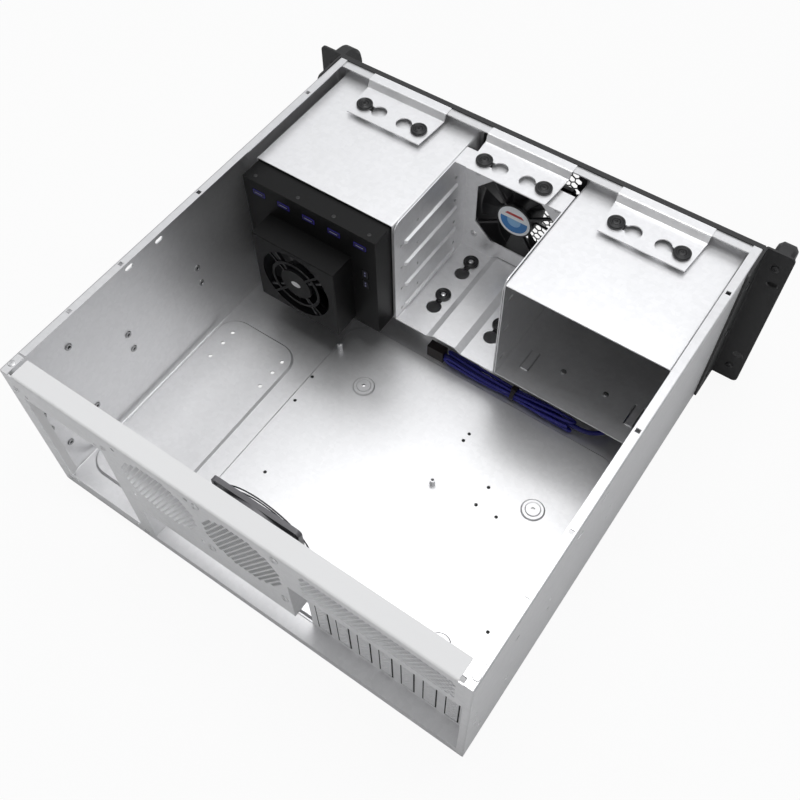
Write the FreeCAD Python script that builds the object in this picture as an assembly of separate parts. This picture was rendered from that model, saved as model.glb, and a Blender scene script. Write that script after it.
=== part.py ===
import FreeCAD, Part
import math
import os

# Rackmount server case, four rack units high, with its lid off.  All sizes are in millimetres.
# X runs to the right as seen from the front, Y from the front panel to the rear panel, Z up.
# Everything is drawn from the front panel's face and the case's underside.  On export it is
# moved so that the origin is the middle of the footprint, on the surface the case stands on.

V = FreeCAD.Vector

# ---- Case ------------------------------------------------------------------------------
body_width = 430.0       # outside the side walls
body_depth = 442.0       # front panel's face to rear panel's face
body_height = 177.0      # four rack units less the gap between neighbours
sheet = 1.2              # zinc-plated steel sheet of the case
bend = 0.8               # inside radius of its folds
seam = 0.1               # gap between neighbouring sheets
flange = 8.4             # width of the side walls' top flanges
panel_sheet = 2.0        # black front panel
panel_rim = 5.6          # depth of the front panel's folded rim
frame_flange = 12.0      # depth of the front frame's folded flanges
rear_flange = 18.0       # width of the rear panel's top flange
corner_gap = 4.0         # from the side flange to the end of the rear flange

# ---- Floor -----------------------------------------------------------------------------
pad_rise = 2.5           # embossed areas under the board and the power supply
pad_corner = 22.0
board_pad_lead = 40.3    # pad in front of the board's first row of holes
board_pad_left = -198.0
board_pad_right = 100.0
supply_pad_length = 208.0
supply_pad_left = 120.0
supply_pad_right = 211.4
pad_rear_gap = 20.0      # from the pads' rear edge to the rear panel
boss_radius = 11.0       # round bosses in the floor
boss_rise = 1.4
boss_ring = 6.4          # radius of the step on a boss
boss_spots = [(48.0, 232.0), (-152.0, 211.0), (-151.0, 62.0)]  # x, distance from the rear
standoff_height = 8.0
standoff_flats = 5.0
standoff_bore = 1.4
standoff_bore_depth = 6.0
board_screw_reach = 4.5
board_screw_head = 3.0
board_screw_height = 1.8
board_hole = 1.7         # radius of the threaded holes under the board
board_column_pitches = [157.48, 124.46]
board_row_pitches = [72.39, 154.94]
board_first_column = 93.0
board_edge_inset = 10.16  # from the last row of holes to the board's rear edge
supply_hole = 2.0
supply_hole_columns = [131.0, 194.0]
supply_hole_rows = [210.0, 195.0, 176.0]                       # distances from the rear
spare_holes = [(96.0, 213.0), (67.7, 106.0), (-63.7, 245.0), (-63.0, 236.0), (-108.0, 208.0),
               (-108.0, 187.0), (-129.0, 187.0), (-178.5, 94.4)]

# ---- Side walls ------------------------------------------------------------------------
rail_hole = 2.0
rail_hole_rows = [74.0, 95.0]
rail_hole_columns = [204.5, 112.5, 9.7]                        # distances from the rear
wall_hole = 2.6
wall_holes = [(57.5, 140.0), (56.5, 51.0), (19.0, 39.5)]       # distance from the rear, height
lid_oval_length = 9.0
lid_oval_width = 4.4
lid_oval_drop = 15.2
lid_ovals = [174.2, 137.4]
lid_notch = 4.0
lid_notches = [379.0, 226.0, 129.0, 70.0]
tab_slit = 1.5

# ---- Rear panel ------------------------------------------------------------------------
sill = 12.0              # height of the lip under the recess
recess_depth = 16.0      # the connector and slot plate stands this far inside
port_right = 101.5       # ends of the recess
port_left = -59.2
slots_left = -208.4
port_ceiling = 67.0
slots_ceiling = 128.2
port_width = 158.75      # opening for the board's connector plate
port_height = 44.45
port_margin = 1.4
slot_count = 7
slot_pitch = 20.32
first_slot = -71.2
slot_open = 12.4
slot_foot = 3.0          # plate left below and above the slots
cover_width = 18.42
cover_sheet = 0.9
cover_tab = 11.4
cover_tab_width = 18.42
cover_hole = 2.6
slot_screw = 1.5
slot_screw_reach = 5.0
slot_screw_head = 3.2
slot_screw_height = 2.0
cover_hole_rows = 6
cover_hole_pitch = 14.0
supply_x = 159.5         # power supply, standing on its side
supply_below = 19.0      # panel left under and over its opening
supply_above = 30.0
supply_open_width = 84.0
supply_screw = 1.9
supply_screws_x = 74.0
supply_screw_margin = 5.0
supply_hem = 6.0
rear_screw_reach = 5.0
rear_screw_head = 3.0
rear_screw_height = 1.4
tab_screw_height = 0.7   # flat heads under the lid
supply_corner = 3.0
frame_screws_x = 93.0    # corner holes of the supply's inner support
frame_screw_margin = 9.0
vent_x = [63.5, -17.5]
vent_drop = 45.0
vent_radius = 38.6
vent_hole = 3.6
vent_pitch = 9.8
rear_fan_vent = 1        # the vent that carries the rear fan
band_left = -203.0
band_right = -72.0
band_lift = 7.8          # over the slots
band_drop = 7.4          # under the case's top
band_hole = 3.6
band_pitch = 10.4

# ---- Drive cages -----------------------------------------------------------------------
cage_sheet = 1.0
cage_bottom = 37.0
cage_drop = 12.0         # cage tops below the case's top
cage_width = 149.5
cage_foot = 9.0
cage_depth = 143.0       # from the front frame
cage_gap = 0.6           # between the middle cage and its neighbours
middle_half = 55.4
rib_bottom = 43.5
rib_pitch = 29.4
rib_count = 4
rib_proud = 2.4
rib_half = 2.4           # half the height of a rib's foot
rib_start = 45.0
rib_end = 131.0
rib_hole = 3.6
wall_corner = 10.0       # rounded upper rear corners of the walls
drive_hole = 1.7
drive_hole_rise = 10.6
drive_hole_columns = [47.5, 109.5]
ridge_foot = 19.0        # raised middle of the drive shelf
ridge_top = 12.0
ridge_rise = 4.6
fan_wall_y = 29.0        # middle cage's front plate
octagon_half = 41.0
octagon_corner = 18.0
strap_depth = 22.0
lance_width = 10.0       # lanced tabs in the bay floors
lance_length = 24.0
lance_slit = 1.6
lance_front = 104.0
lance_inset = 16.0
bay_slot_length = 9.0
bay_slot_width = 3.4
bay_slot_inset = 10.5    # rear and front slots in the bays' walls, from their rear edge
bay_slot_reach = 85.0
tail_width = 14.0        # small tail at the outer rear corner of a bay's floor
tail_length = 12.0
bay_rivet_y = 110.0
bay_rivet_x = 22.0
bay_rivet = 1.6

# ---- Hanging brackets and their rubber grommets ----------------------------------------
bracket_sheet = 1.2
bracket_front_width = 86.0
bracket_rear_width = 80.0
bracket_front = 6.2
bracket_step = 15.0
bracket_ramp = 3.0
bracket_rear = 56.0
bracket_lift = 3.8       # underside above the cage top
grommet_radius = 7.75
grommet_neck = 4.4
grommet_cap = 3.0
grommet_y = 41.0
grommet_half_pitch = 30.3
key_entry = 7.5          # radius of a keyhole's wide end
key_shift = 16.5
grommet_bore = 1.7
grommet_rim = 0.7        # bevel round the cap
shelf_grommet_x = 32.5
shelf_grommet_y = [47.0, 97.0]
shelf_cap_below = 3.0
grommet_screw = 1.5
grommet_head = 3.4
grommet_head_height = 1.6
grommet_screw_below = 2.2   # how far its tip stands below the sheet's top
shelf_screw_below = 6.0

# ---- Fans ------------------------------------------------------------------------------
fan_depth = 25.0
fan_flange = 4.0
fan_wall = 1.6           # thinnest duct wall
fan_strut = 2.4
fan_strut_turn = 33.0
fan_base = 3.0           # motor plate on the struts
fan_corner = 4.0
bearing_radius = 4.0
bearing_length = 12.0
bore_slack = 1.0         # blind end of the bearing's bore
fan_tip_gap = 1.2
fan_blades = 7
fan_skin = 2.0           # wall of the hub's cup
cup_front = 1.2          # hub's faces below the housing's front and above the motor plate
cup_gap = 0.9
blade_root_pitch = 50.0
blade_root_chord = 18.0
blade_tip_pitch = 30.0
blade_tip_chord = 26.0
blade_thick = 1.2
blade_bow = 1.8
shaft_radius = 1.5
shaft_clearance = 0.05
rear_fan_size = 80.0
rear_fan_holes = 71.5
rear_fan_hub = 17.5
front_fan_size = 92.0
front_fan_holes = 82.5
front_fan_hub = 19.0
fan_hole = 2.15
fan_screw = 2.0
fan_screw_head = 3.7
fan_screw_head_height = 1.6
fan_screw_reach = 9.0

# ---- Front panel -----------------------------------------------------------------------
mesh_half_width = 50.0
mesh_bottom = 42.0
mesh_drop = 11.0
mesh_sheet = 1.0
mesh_border = 3.6        # width by which the mesh overlaps the panel's opening
mesh_hole = 5.0
mesh_pitch = 13.2
blank_gap = 0.4
blank_wall = 2.4
blank_depth = 14.0
blank_proud = 1.5        # faces in front of the panel
blank_notch_inset = 20.0
blank_notch = 4.0
blank_clip_half = 6.0
blank_clip_front = 10.0
blank_clip_rear = 22.0
blank_count = 3
control_z = 19.0
power_x = -178.0
reset_x = -158.0
power_radius = 6.0
reset_radius = 2.6
button_gap = 0.25
button_travel = 1.6
button_proud = 1.4
button_collar = 1.6
button_collar_thick = 1.2
button_inside = 3.0      # cap's length behind the panel
button_slack = 0.4       # from the pressed cap to its switch
switch_half = 2.5
lamp_x = [-143.0, -133.0]
lamp_radius = 1.6
usb_x = [-112.0, -88.0]
usb_width = 14.6
usb_height = 7.2
usb_depth = 10.6
usb_wall = 0.6
board_thick = 1.6
board_left = -196.0
board_right = -76.0
board_half_height = 9.0
board_y = 10.0           # control board behind the panel
header_x = -125.0        # where the front USB lead plugs in
header_half = 5.0
header_reach = 6.0
header_half_height = 3.0
pillar_inset = 3.5
pillar_radius = 2.0
lamp_proud = 0.4

# ---- Ears and handles ------------------------------------------------------------------
rack_width = 482.6       # over both ears
ear_sheet = 2.0
ear_corner = 5.0
ear_wall_depth = 40.0    # ear's leg along the side wall
rack_hole_inset = 8.75   # from the ear's outer edge: 465.1 between the columns
rack_hole_z = [38.1, 139.7]
rack_hole = 3.4
rack_slot = 10.0
ear_screw_y = 26.0
ear_screws_z = [24.0, 88.5, 153.0]
ear_screw = 1.9
ear_screw_reach = 4.5
ear_screw_head = 3.8
ear_screw_head_height = 1.5
handle_stand = 14.2      # handle's middle from the side wall
handle_pitch = 140.0
handle_reach = 38.0
handle_width = 17.0
handle_thick = 12.0
handle_bend = 16.0
handle_chamfer = 3.2
handle_screw = 2.0
handle_screw_reach = 9.0
handle_tapped = 10.0
handle_screw_head = 3.6
handle_screw_head_height = 1.6

# ---- Hot-swap drive module -------------------------------------------------------------
module_width = 145.6
module_clear = 1.5
module_sheet = 1.0
module_front = -3.0
module_rear = 169.0
tray_count = 5
tray_pitch = 28.4
tray_gap = 0.4           # round a tray in its housing
tray_side_gap = 1.5      # between neighbouring trays
guide_width = 0.7        # pressed guides between the trays
guide_height = 2.4
tray_depth = 148.0
tray_bezel = 9.0
tray_rail = 2.6
tray_shelf = 8.0         # depth of a rail's upright web
tray_web = 1.2
tray_travel = 140.0
lever_width = 15.0
lever_rise = 18.0        # lever's foot above the tray's foot
lever_drop = 19.7        # lever's tip below the tray's top
lever_thick = 4.0
lever_frame = 3.5        # border round the lever's window
lever_pin = 1.4
lever_pin_clearance = 0.05
lever_swing = 50.0
tray_slot = 2.2          # vent slots in a tray's bezel
tray_slot_half = 8.0
tray_slot_pitch = 4.4
tray_slot_inset = 5.8    # from the bezel's ends
backplane_y = 160.0
vent_slot_pitch = 19.0   # cooling slots through the backplane
vent_slot_length = 50.0
vent_slot_width = 12.0
port_pitch = 28.0
port_drop = 13.5
port_gap = 0.6           # round a port in the housing's rear wall
port_proud = 0.2
port_wall = 0.9
data_port_width = 13.0
data_port_height = 5.6
power_port_inset = 12.55
power_port_z = [101.0, 115.0]
power_port_width = 6.0
power_port_height = 9.0
fan_box_width = 92.0
fan_box_height = 85.6
fan_box_over = 1.8       # room above and below the fan in its box
fan_box_front = 1.0
fan_box_low = 5.0        # from the housing's underside
fan_box_shift = 0.75
module_fan_inset = 4.25  # fan's screw holes from its edges
module_fan_hub = 17.5
guard_rings = [(17.0, 24.5), (27.6, 38.0)]
guard_spoke = 2.6
guard_turn = 45.0
module_screw = 1.2
module_screw_reach = 3.0
module_screw_head = 1.9
module_screw_height = 0.5
module_screw_inset = 6.0
module_screw_shares = [0.07, 0.33, 0.6, 0.93]  # places along the module's width

# ---- Front USB lead, folded and tied under the bays ------------------------------------
lead_y = 138.5
lead_left = 2.0
lead_right = -142.0
lead_radius = 7.6
lead_tie_x = -76.0
lead_tie_radius = 5.4
lead_tie_span = 9.0
lead_nose = 12.0
lead_cord = 2.2
tie_width = 4.0
tie_thick = 1.2
plug_length = 18.0
plug_width = 9.0
plug_height = 14.6
plug_key = 1.2           # polarising rib
plug_wall = 1.5
tie_head = 2.6
lead_tail = [(-142.0, 138.5, 8.9), (-156.0, 137.0, 9.1), (-168.0, 128.0, 9.5), (-174.0, 114.0, 10.0),
             (-174.5, 98.5, 10.5), (-170.5, 83.5, 11.1), (-163.0, 70.0, 12.0), (-153.0, 57.5, 13.3),
             (-141.5, 46.5, 15.2), (-131.5, 37.0, 17.6), (-125.0, 27.5, 19.0), (-125.0, 17.6, 19.0)]

# ---- Derived places --------------------------------------------------------------------
half = body_width / 2
inner = half - sheet
frame_rear = panel_sheet + sheet            # front frame's rear face
frame_top = body_height - sheet - seam      # top of the front frame's flange
cage_top = body_height - cage_drop
cage_height = cage_top - cage_bottom
front_fan_z = (cage_bottom + cage_top) / 2
mesh_top = body_height - mesh_drop
cage_rear = frame_rear + cage_depth
bay_inner_edge = middle_half + cage_gap
bay_outer_edge = bay_inner_edge + cage_width
bay_centre = (bay_inner_edge + bay_outer_edge) / 2
bracket_x = [bay_centre, 0.0, -bay_centre]
rear_inside = body_depth - sheet            # rear panel's inner face
plate_y = body_depth - recess_depth         # connector and slot plate's outer face
pad_top = sheet + pad_rise
pad_rear = body_depth - pad_rear_gap
board_rear = plate_y - sheet
board_last_row = board_rear - board_edge_inset
board_columns = [board_first_column,
                 board_first_column - board_column_pitches[0],
                 board_first_column - sum(board_column_pitches)]
board_rows = [board_last_row - sum(board_row_pitches),
              board_last_row - board_row_pitches[1],
              board_last_row]
board_pad_front = board_rows[0] - board_pad_lead
supply_pad_front = body_depth - supply_pad_length - pad_rear_gap
front_reach = -handle_reach                 # foremost and rearmost points of the case
rear_reach = body_depth + fan_screw_head_height
middle_y = (front_reach + rear_reach) / 2
slot_centres = [first_slot - slot_pitch * k for k in range(slot_count)]
band_bottom = slots_ceiling + band_lift
band_top = body_height - band_drop
vent_z = body_height - vent_drop
supply_open_height = body_height - supply_below - supply_above
supply_z = supply_below + supply_open_height / 2
supply_screws_z = supply_open_height + 2 * supply_screw_margin
frame_screws_z = supply_open_height + 2 * frame_screw_margin
rack_hole_x = rack_width - 2 * rack_hole_inset
handle_x = half + handle_stand
bracket_under = cage_top + bracket_lift
module_bottom = cage_bottom + cage_sheet
module_height = cage_height - 2 * cage_sheet - module_clear
module_top = module_bottom + module_height
module_left = bay_centre - module_width / 2
module_right = bay_centre + module_width / 2
tray_centres = [bay_centre + tray_pitch * (k - (tray_count - 1) / 2) for k in range(tray_count)]
tray_width = tray_pitch - tray_side_gap
tray_bottom = module_bottom + module_sheet + tray_gap
tray_top = module_top - module_sheet - tray_gap
tray_front = module_front - tray_bezel
lever_low = tray_bottom + lever_rise
lever_top = tray_top - lever_drop
pivot_y = tray_front + lever_thick / 2
pivot_z = lever_low + lever_thick * 0.75
port_centres = [bay_centre + port_pitch * (k - (tray_count - 1) / 2) for k in range(tray_count)]
port_z = module_top - port_drop
port_rear = module_rear + port_proud
power_port_x = module_left + power_port_inset
module_screw_y = module_rear - module_screw_inset
module_screw_spots = [module_left + module_width * share for share in module_screw_shares]
module_fan_size = fan_box_height - 2 * (fan_box_over + module_sheet)
module_fan_holes = module_fan_size - 2 * module_fan_inset
fan_box_depth = fan_box_front + fan_depth + module_sheet
fan_box_x = bay_centre + fan_box_shift
fan_box_z = module_bottom + fan_box_low + fan_box_height / 2
fan_box_rear = module_rear + fan_box_depth


# ---- Drawing helpers -------------------------------------------------------------------
def box(x0, x1, y0, y1, z0, z1):
    return Part.makeBox(x1 - x0, y1 - y0, z1 - z0, V(x0, y0, z0))


def rod(start, radius, length, along):
    return Part.makeCylinder(radius, length, V(*start), along)


ALONG_X = V(1, 0, 0)
ALONG_Y = V(0, 1, 0)
ALONG_Z = V(0, 0, 1)


def fuse(shapes):
    """One shape from touching or crossing ones, without seams between coplanar faces."""
    first, rest = shapes[0], shapes[1:]
    return first.fuse(rest).removeSplitter() if rest else first


def group(shapes):
    """Several separate solids in one node."""
    return Part.makeCompound(shapes)


def outline(points, radii=0.0):
    """Closed 2D wire through the points, with rounded corners where a radius is given."""
    count = len(points)
    corners = radii if isinstance(radii, list) else [radii] * count
    edges = []
    ends = []
    for i in range(count):
        here, back, ahead = V(*points[i]), V(*points[i - 1]), V(*points[(i + 1) % count])
        to_back, to_ahead = (back - here).normalize(), (ahead - here).normalize()
        if corners[i] <= 0:
            ends.append((here, here, None))
            continue
        half_angle = to_back.getAngle(to_ahead) / 2
        reach = corners[i] / math.tan(half_angle)
        centre = here + (to_back + to_ahead).normalize() * (corners[i] / math.sin(half_angle))
        middle = centre + (here - centre).normalize() * corners[i]
        ends.append((here + to_back * reach, here + to_ahead * reach, middle))
    for i in range(count):
        start, finish, middle = ends[i]
        if middle is not None:
            edges.append(Part.Arc(start, middle, finish).toShape())
        following = ends[(i + 1) % count][0]
        if (following - finish).Length > 1e-6:
            edges.append(Part.LineSegment(finish, following).toShape())
    return Part.Wire(edges)


def rectangle(u0, u1, v0, v1, corner=0.0):
    return outline([(u0, v0, 0), (u1, v0, 0), (u1, v1, 0), (u0, v1, 0)], corner)


def disc(u, v, radius):
    return Part.Wire([Part.makeCircle(radius, V(u, v, 0))])


def polygon(u, v, radius, sides=6, turn=0.0):
    corners = []
    for k in range(sides):
        angle = math.radians(turn + 360.0 * k / sides)
        corners.append((u + radius * math.cos(angle), v + radius * math.sin(angle), 0))
    return outline(corners)


def obround(u, v, length, width, upright=False):
    """Slot with round ends, centred on (u, v)."""
    a, b = (width, length) if upright else (length, width)
    return rectangle(u - a / 2, u + a / 2, v - b / 2, v + b / 2, width / 2 - 0.01)


def strip(path, thick, inside):
    """Section of a folded sheet: the path is one face, the thickness lies to its left.

    A negative thickness lies to its right.
    """
    points = [V(u, v, 0) for u, v in path]
    ways = [(points[i + 1] - points[i]).normalize() for i in range(len(points) - 1)]
    lefts = [V(-w.y, w.x, 0) for w in ways]

    def side(offset, arc_of):
        pieces = []
        last = points[0] + lefts[0] * offset
        for i in range(1, len(points) - 1):
            before, after = ways[i - 1], ways[i]
            turn = math.atan2(before.x * after.y - before.y * after.x, before.dot(after))
            spread = 1 + lefts[i - 1].dot(lefts[i])
            corner = points[i] + (lefts[i - 1] + lefts[i]) * (offset / spread)
            radius = arc_of(turn)
            reach = radius * math.tan(abs(turn) / 2)
            start, finish = corner - before * reach, corner + after * reach
            normal = lefts[i - 1] * (1 if turn > 0 else -1)
            centre = start + normal * radius
            middle = centre + (corner - centre).normalize() * radius
            pieces.append(Part.LineSegment(last, start).toShape())
            pieces.append(Part.Arc(start, middle, finish).toShape())
            last = finish
        end = points[-1] + lefts[-1] * offset
        pieces.append(Part.LineSegment(last, end).toShape())
        return pieces, end

    outer = inside + abs(thick)
    near, near_end = side(0.0, lambda turn: outer if turn * thick > 0 else inside)
    far, far_end = side(thick, lambda turn: inside if turn * thick > 0 else outer)
    caps = [Part.LineSegment(points[0], points[0] + lefts[0] * thick).toShape(),
            Part.LineSegment(near_end, far_end).toShape()]
    return Part.Wire(Part.__sortEdges__(near + far + caps))


def plate(plane, at, thick, outer, holes=()):
    """Flat piece from 2D wires: plane names its two axes, it grows from at along the third."""
    face = Part.makeFace([outer] + list(holes), "Part::FaceMakerBullseye")
    solid = face.extrude(V(0, 0, thick))
    if plane == "xz":
        solid.rotate(V(0, 0, 0), V(1, 0, 0), 90)
        solid.translate(V(0, at + thick, 0))
    elif plane == "yz":
        solid.rotate(V(0, 0, 0), V(1, 1, 1), 120)
        solid.translate(V(at, 0, 0))
    else:
        solid.translate(V(0, 0, at))
    return solid


def hex_grid(u0, u1, v0, v1, pitch, inside=lambda u, v: True):
    """Centres of a staggered pattern that fills a rectangle evenly."""
    rise = pitch * math.sqrt(3) / 2
    rows = int((v1 - v0) / rise) + 1
    columns = int((u1 - u0) / pitch) + 1
    left = (u0 + u1 - (columns - 1) * pitch) / 2
    low = (v0 + v1 - (rows - 1) * rise) / 2
    spots = []
    for j in range(rows):
        shift = pitch / 2 if j % 2 else 0.0
        for i in range(columns - j % 2):
            spot = (left + shift + i * pitch, low + j * rise)
            if inside(*spot):
                spots.append(spot)
    return spots


def turned(profile, centre=(0, 0, 0)):
    """Solid of revolution about a vertical line: profile is a list of (radius, height)."""
    face = Part.Face(Part.makePolygon([V(r, 0, z) for r, z in profile + profile[:1]]))
    solid = face.revolve(V(0, 0, 0), ALONG_Z, 360)
    solid.translate(V(*centre))
    return solid


def pan_screw(centre, shank, reach, head, head_height, along):
    """Screw whose head sits on the point and whose shank goes the other way."""
    edge = head_height * 0.45
    profile = [(0, -reach), (shank, -reach), (shank, 0), (head, 0), (head, head_height - edge),
               (head - edge, head_height), (0, head_height)]
    solid = turned(profile)
    solid.Placement = FreeCAD.Placement(V(*centre), FreeCAD.Rotation(ALONG_Z, along))
    return solid


# ---- Case ------------------------------------------------------------------------------
def pad(u0, u1, v0, v1, corner):
    """Embossed area of the floor: the raised solid and the pocket under it."""
    raised = plate("xy", sheet, pad_rise, rectangle(u0, u1, v0, v1, corner))
    rim = [e for e in raised.Edges if e.BoundBox.ZMin > pad_top - 0.01]
    raised = raised.makeChamfer(pad_rise * 0.8, rim)
    inset = sheet * 0.8
    hollow = plate("xy", 0, pad_rise, rectangle(u0 + inset, u1 - inset, v0 + inset, v1 - inset,
                                                corner - inset))
    rim = [e for e in hollow.Edges if e.BoundBox.ZMin > pad_rise - 0.01]
    return raised, hollow.makeChamfer(pad_rise * 0.8, rim)


def boss(x, y):
    """Round boss on the board's pad, pressed up from below."""
    top = pad_top + boss_rise
    step = boss_rise * 0.6
    raised = turned([(0, pad_top), (boss_radius, pad_top), (boss_radius - boss_rise, top),
                     (boss_ring + step, top), (boss_ring, top + step), (0, top + step)], (x, y, 0))
    wide = boss_radius - sheet
    hollow = turned([(0, pad_rise), (wide, pad_rise), (wide - boss_rise, pad_rise + boss_rise),
                     (0, pad_rise + boss_rise)], (x, y, 0))
    return raised, hollow


def chassis_tray():
    """Floor and side walls in one folded sheet, with the walls' top flanges."""
    lip = half - flange
    section = strip([(-lip, body_height), (-half, body_height), (-half, 0), (half, 0),
                     (half, body_height), (lip, body_height)], sheet, bend)
    tray = plate("xz", frame_rear, body_depth - frame_rear, section)
    pads = [pad(board_pad_left, board_pad_right, board_pad_front, pad_rear, pad_corner),
            pad(supply_pad_left, supply_pad_right, supply_pad_front, pad_rear, pad_corner)]
    bosses = [boss(x, body_depth - y) for x, y in boss_spots]
    tray = tray.fuse([p[0] for p in pads] + [b[0] for b in bosses])
    cuts = [p[1] for p in pads] + [b[1] for b in bosses]
    floor_holes = [(x, y, board_hole) for x in board_columns for y in board_rows
                   if not (x == board_columns[1] and y == board_rows[0])]
    floor_holes += [(x, body_depth - y, board_hole) for x, y in spare_holes + boss_spots]
    floor_holes += [(x, body_depth - y, supply_hole) for x in supply_hole_columns
                    for y in supply_hole_rows]
    cuts += [rod((x, y, -1), r, pad_top + boss_rise + 2, ALONG_Z) for x, y, r in floor_holes]
    side_holes = [(body_depth - y, z, rail_hole) for y in rail_hole_columns for z in rail_hole_rows]
    side_holes += [(body_depth - y, z, wall_hole) for y, z in wall_holes]
    side_holes += [(ear_screw_y, z, ear_screw) for z in ear_screws_z]
    cuts += [rod((-half - 1, y, z), r, body_width + 2, ALONG_X) for y, z, r in side_holes]
    cuts += [plate("yz", -half - 1, body_width + 2,
                   obround(body_depth - y, body_height - lid_oval_drop, lid_oval_length,
                           lid_oval_width)) for y in lid_ovals]
    above = body_height - sheet
    cuts.append(box(-half - 1, half + 1, frame_rear - 1, panel_rim + seam * 2, above, body_height + 1))
    slit_y = body_depth - rear_flange - tab_slit
    for side in (-1, 1):
        middle = side * (half - flange / 2)
        cuts.append(rod((middle, body_depth - rear_flange / 2, above - 1), board_hole, sheet + 2,
                        ALONG_Z))
        edge = sorted([side * (lip - 1), side * (half - sheet - bend)])
        cuts.append(box(edge[0], edge[1], slit_y, slit_y + tab_slit, above - 1, body_height + 1))
        spot = side * (half - flange * 0.55)
        cuts += [box(spot - lid_notch / 2, spot + lid_notch / 2, body_depth - y - lid_notch / 2,
                     body_depth - y + lid_notch / 2, above - 1, body_height + 1) for y in lid_notches]
    return tray.cut(cuts).removeSplitter()


def window_outline(grow=0.0):
    """Edge of the recess in the rear panel: lower over the connectors, higher over the slots."""
    return [(slots_left - grow, sill - grow, 0), (port_right + grow, sill - grow, 0),
            (port_right + grow, port_ceiling + grow, 0), (port_left + grow, port_ceiling + grow, 0),
            (port_left + grow, slots_ceiling + grow, 0), (slots_left - grow, slots_ceiling + grow, 0)]


def fan_corners(x, z, pitch):
    return [(x + sx * pitch / 2, z + sz * pitch / 2) for sx in (-1, 1) for sz in (-1, 1)]


def frame_screw_spots():
    return [(supply_x + sx * frame_screws_x / 2, supply_z + sz * frame_screws_z / 2)
            for sx in (-1, 1) for sz in (-1, 1)]


def rear_panel():
    """Rear sheet with the supply's opening, two round fan vents and the vent band over the slots."""
    edge = inner - seam
    flange_end = half - flange - corner_gap
    fold = rear_flange / 3
    top = body_height - fold
    shoulder = body_height - sheet - 2 * seam
    blank = outline([(-edge, sheet + seam, 0), (edge, sheet + seam, 0), (edge, shoulder, 0),
                     (flange_end, shoulder, 0), (flange_end, top, 0), (-flange_end, top, 0),
                     (-flange_end, shoulder, 0), (-edge, shoulder, 0)])
    holes = [outline(window_outline())]
    across, up = supply_open_width / 2, supply_open_height / 2
    holes.append(rectangle(supply_x - across, supply_x + across, supply_z - up, supply_z + up,
                           supply_corner))
    holes += [disc(supply_x + sx * supply_screws_x / 2, supply_z + sz * supply_screws_z / 2,
                   supply_screw) for sx in (-1, 1) for sz in (-1, 1)]
    holes += [disc(x, z, board_hole) for x, z in frame_screw_spots()]
    for x in vent_x:
        reach = vent_radius - vent_hole
        spots = hex_grid(x - reach, x + reach, vent_z - reach, vent_z + reach, vent_pitch,
                         lambda u, v: math.hypot(u - x, v - vent_z) <= reach)
        holes += [polygon(u, v, vent_hole, 6, 90) for u, v in spots]
        holes += [disc(u, v, fan_hole) for u, v in fan_corners(x, vent_z, rear_fan_holes)]
    spots = hex_grid(band_left + band_hole, band_right - band_hole, band_bottom + band_hole,
                     band_top - band_hole, band_pitch)
    holes += [polygon(u, v, band_hole, 6, 90) for u, v in spots]
    panel = plate("xz", rear_inside, sheet, blank, holes)
    section = strip([(body_depth, top), (body_depth, body_height),
                     (body_depth - rear_flange, body_height)], sheet, bend)
    lip = plate("yz", -flange_end, 2 * flange_end, section)
    hems = [box(side * edge - (sheet if side > 0 else 0), side * edge + (0 if side > 0 else sheet),
                rear_inside - supply_hem, rear_inside, sheet + 1, shoulder - 1) for side in (-1, 1)]
    guide = box(supply_x + across, supply_x + across + sheet, rear_inside - supply_hem, rear_inside,
                supply_z - up, supply_z + up)
    return fuse([panel, lip, guide] + hems)


def slot_frame():
    """Recessed plate for the board's connectors and seven expansion slots, with its folded rim."""
    rim = plate("xz", plate_y - sheet, recess_depth, outline(window_outline(sheet)))
    hollow = plate("xz", plate_y, recess_depth, outline(window_outline()))
    low = sill + port_margin
    centre = (port_left + port_right) / 2
    openings = [rectangle(centre - port_width / 2 + seam, centre + port_width / 2 - seam, low,
                          low + port_height, 1.5)]
    openings += [rectangle(x - slot_open / 2, x + slot_open / 2, sill + slot_foot,
                           slots_ceiling - slot_foot, 1.0) for x in slot_centres]
    cuts = [plate("xz", plate_y - sheet - 1, sheet + 2, hole) for hole in openings]
    cuts += [rod((x, plate_y - sheet + cover_tab / 2, slots_ceiling - 1), slot_screw + seam,
                 sheet + 2, ALONG_Z)
             for x in slot_centres]
    return rim.cut([hollow] + cuts).removeSplitter()


def slot_cover(x):
    """Vented cover for one slot, its tab folded over the shelf."""
    rear = plate_y - sheet
    shelf = slots_ceiling + sheet
    section = strip([(rear, sill + slot_foot / 2), (rear, shelf), (rear + cover_tab, shelf)],
                    cover_sheet, 0.3)
    blank = plate("yz", x - cover_width / 2, cover_width, section)
    middle = (sill + slots_ceiling) / 2
    holes = []
    for j in range(cover_hole_rows):
        z = middle + (j - (cover_hole_rows - 1) / 2) * cover_hole_pitch
        shift = cover_hole_pitch / 4 if j % 2 else -cover_hole_pitch / 4
        holes.append(polygon(x + shift, z, cover_hole, 6, 90))
    cuts = [plate("xz", rear - cover_sheet - 1, cover_sheet + 2, hole) for hole in holes]
    cuts.append(rod((x, rear + cover_tab / 2, shelf - 1), slot_screw + 2 * seam, cover_sheet + 2,
                    ALONG_Z))
    return blank.cut(cuts)


def slot_screws():
    top = slots_ceiling + sheet + cover_sheet
    return group([pan_screw((x, plate_y - sheet + cover_tab / 2, top), slot_screw, slot_screw_reach,
                            slot_screw_head, slot_screw_height, ALONG_Z) for x in slot_centres])


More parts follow.
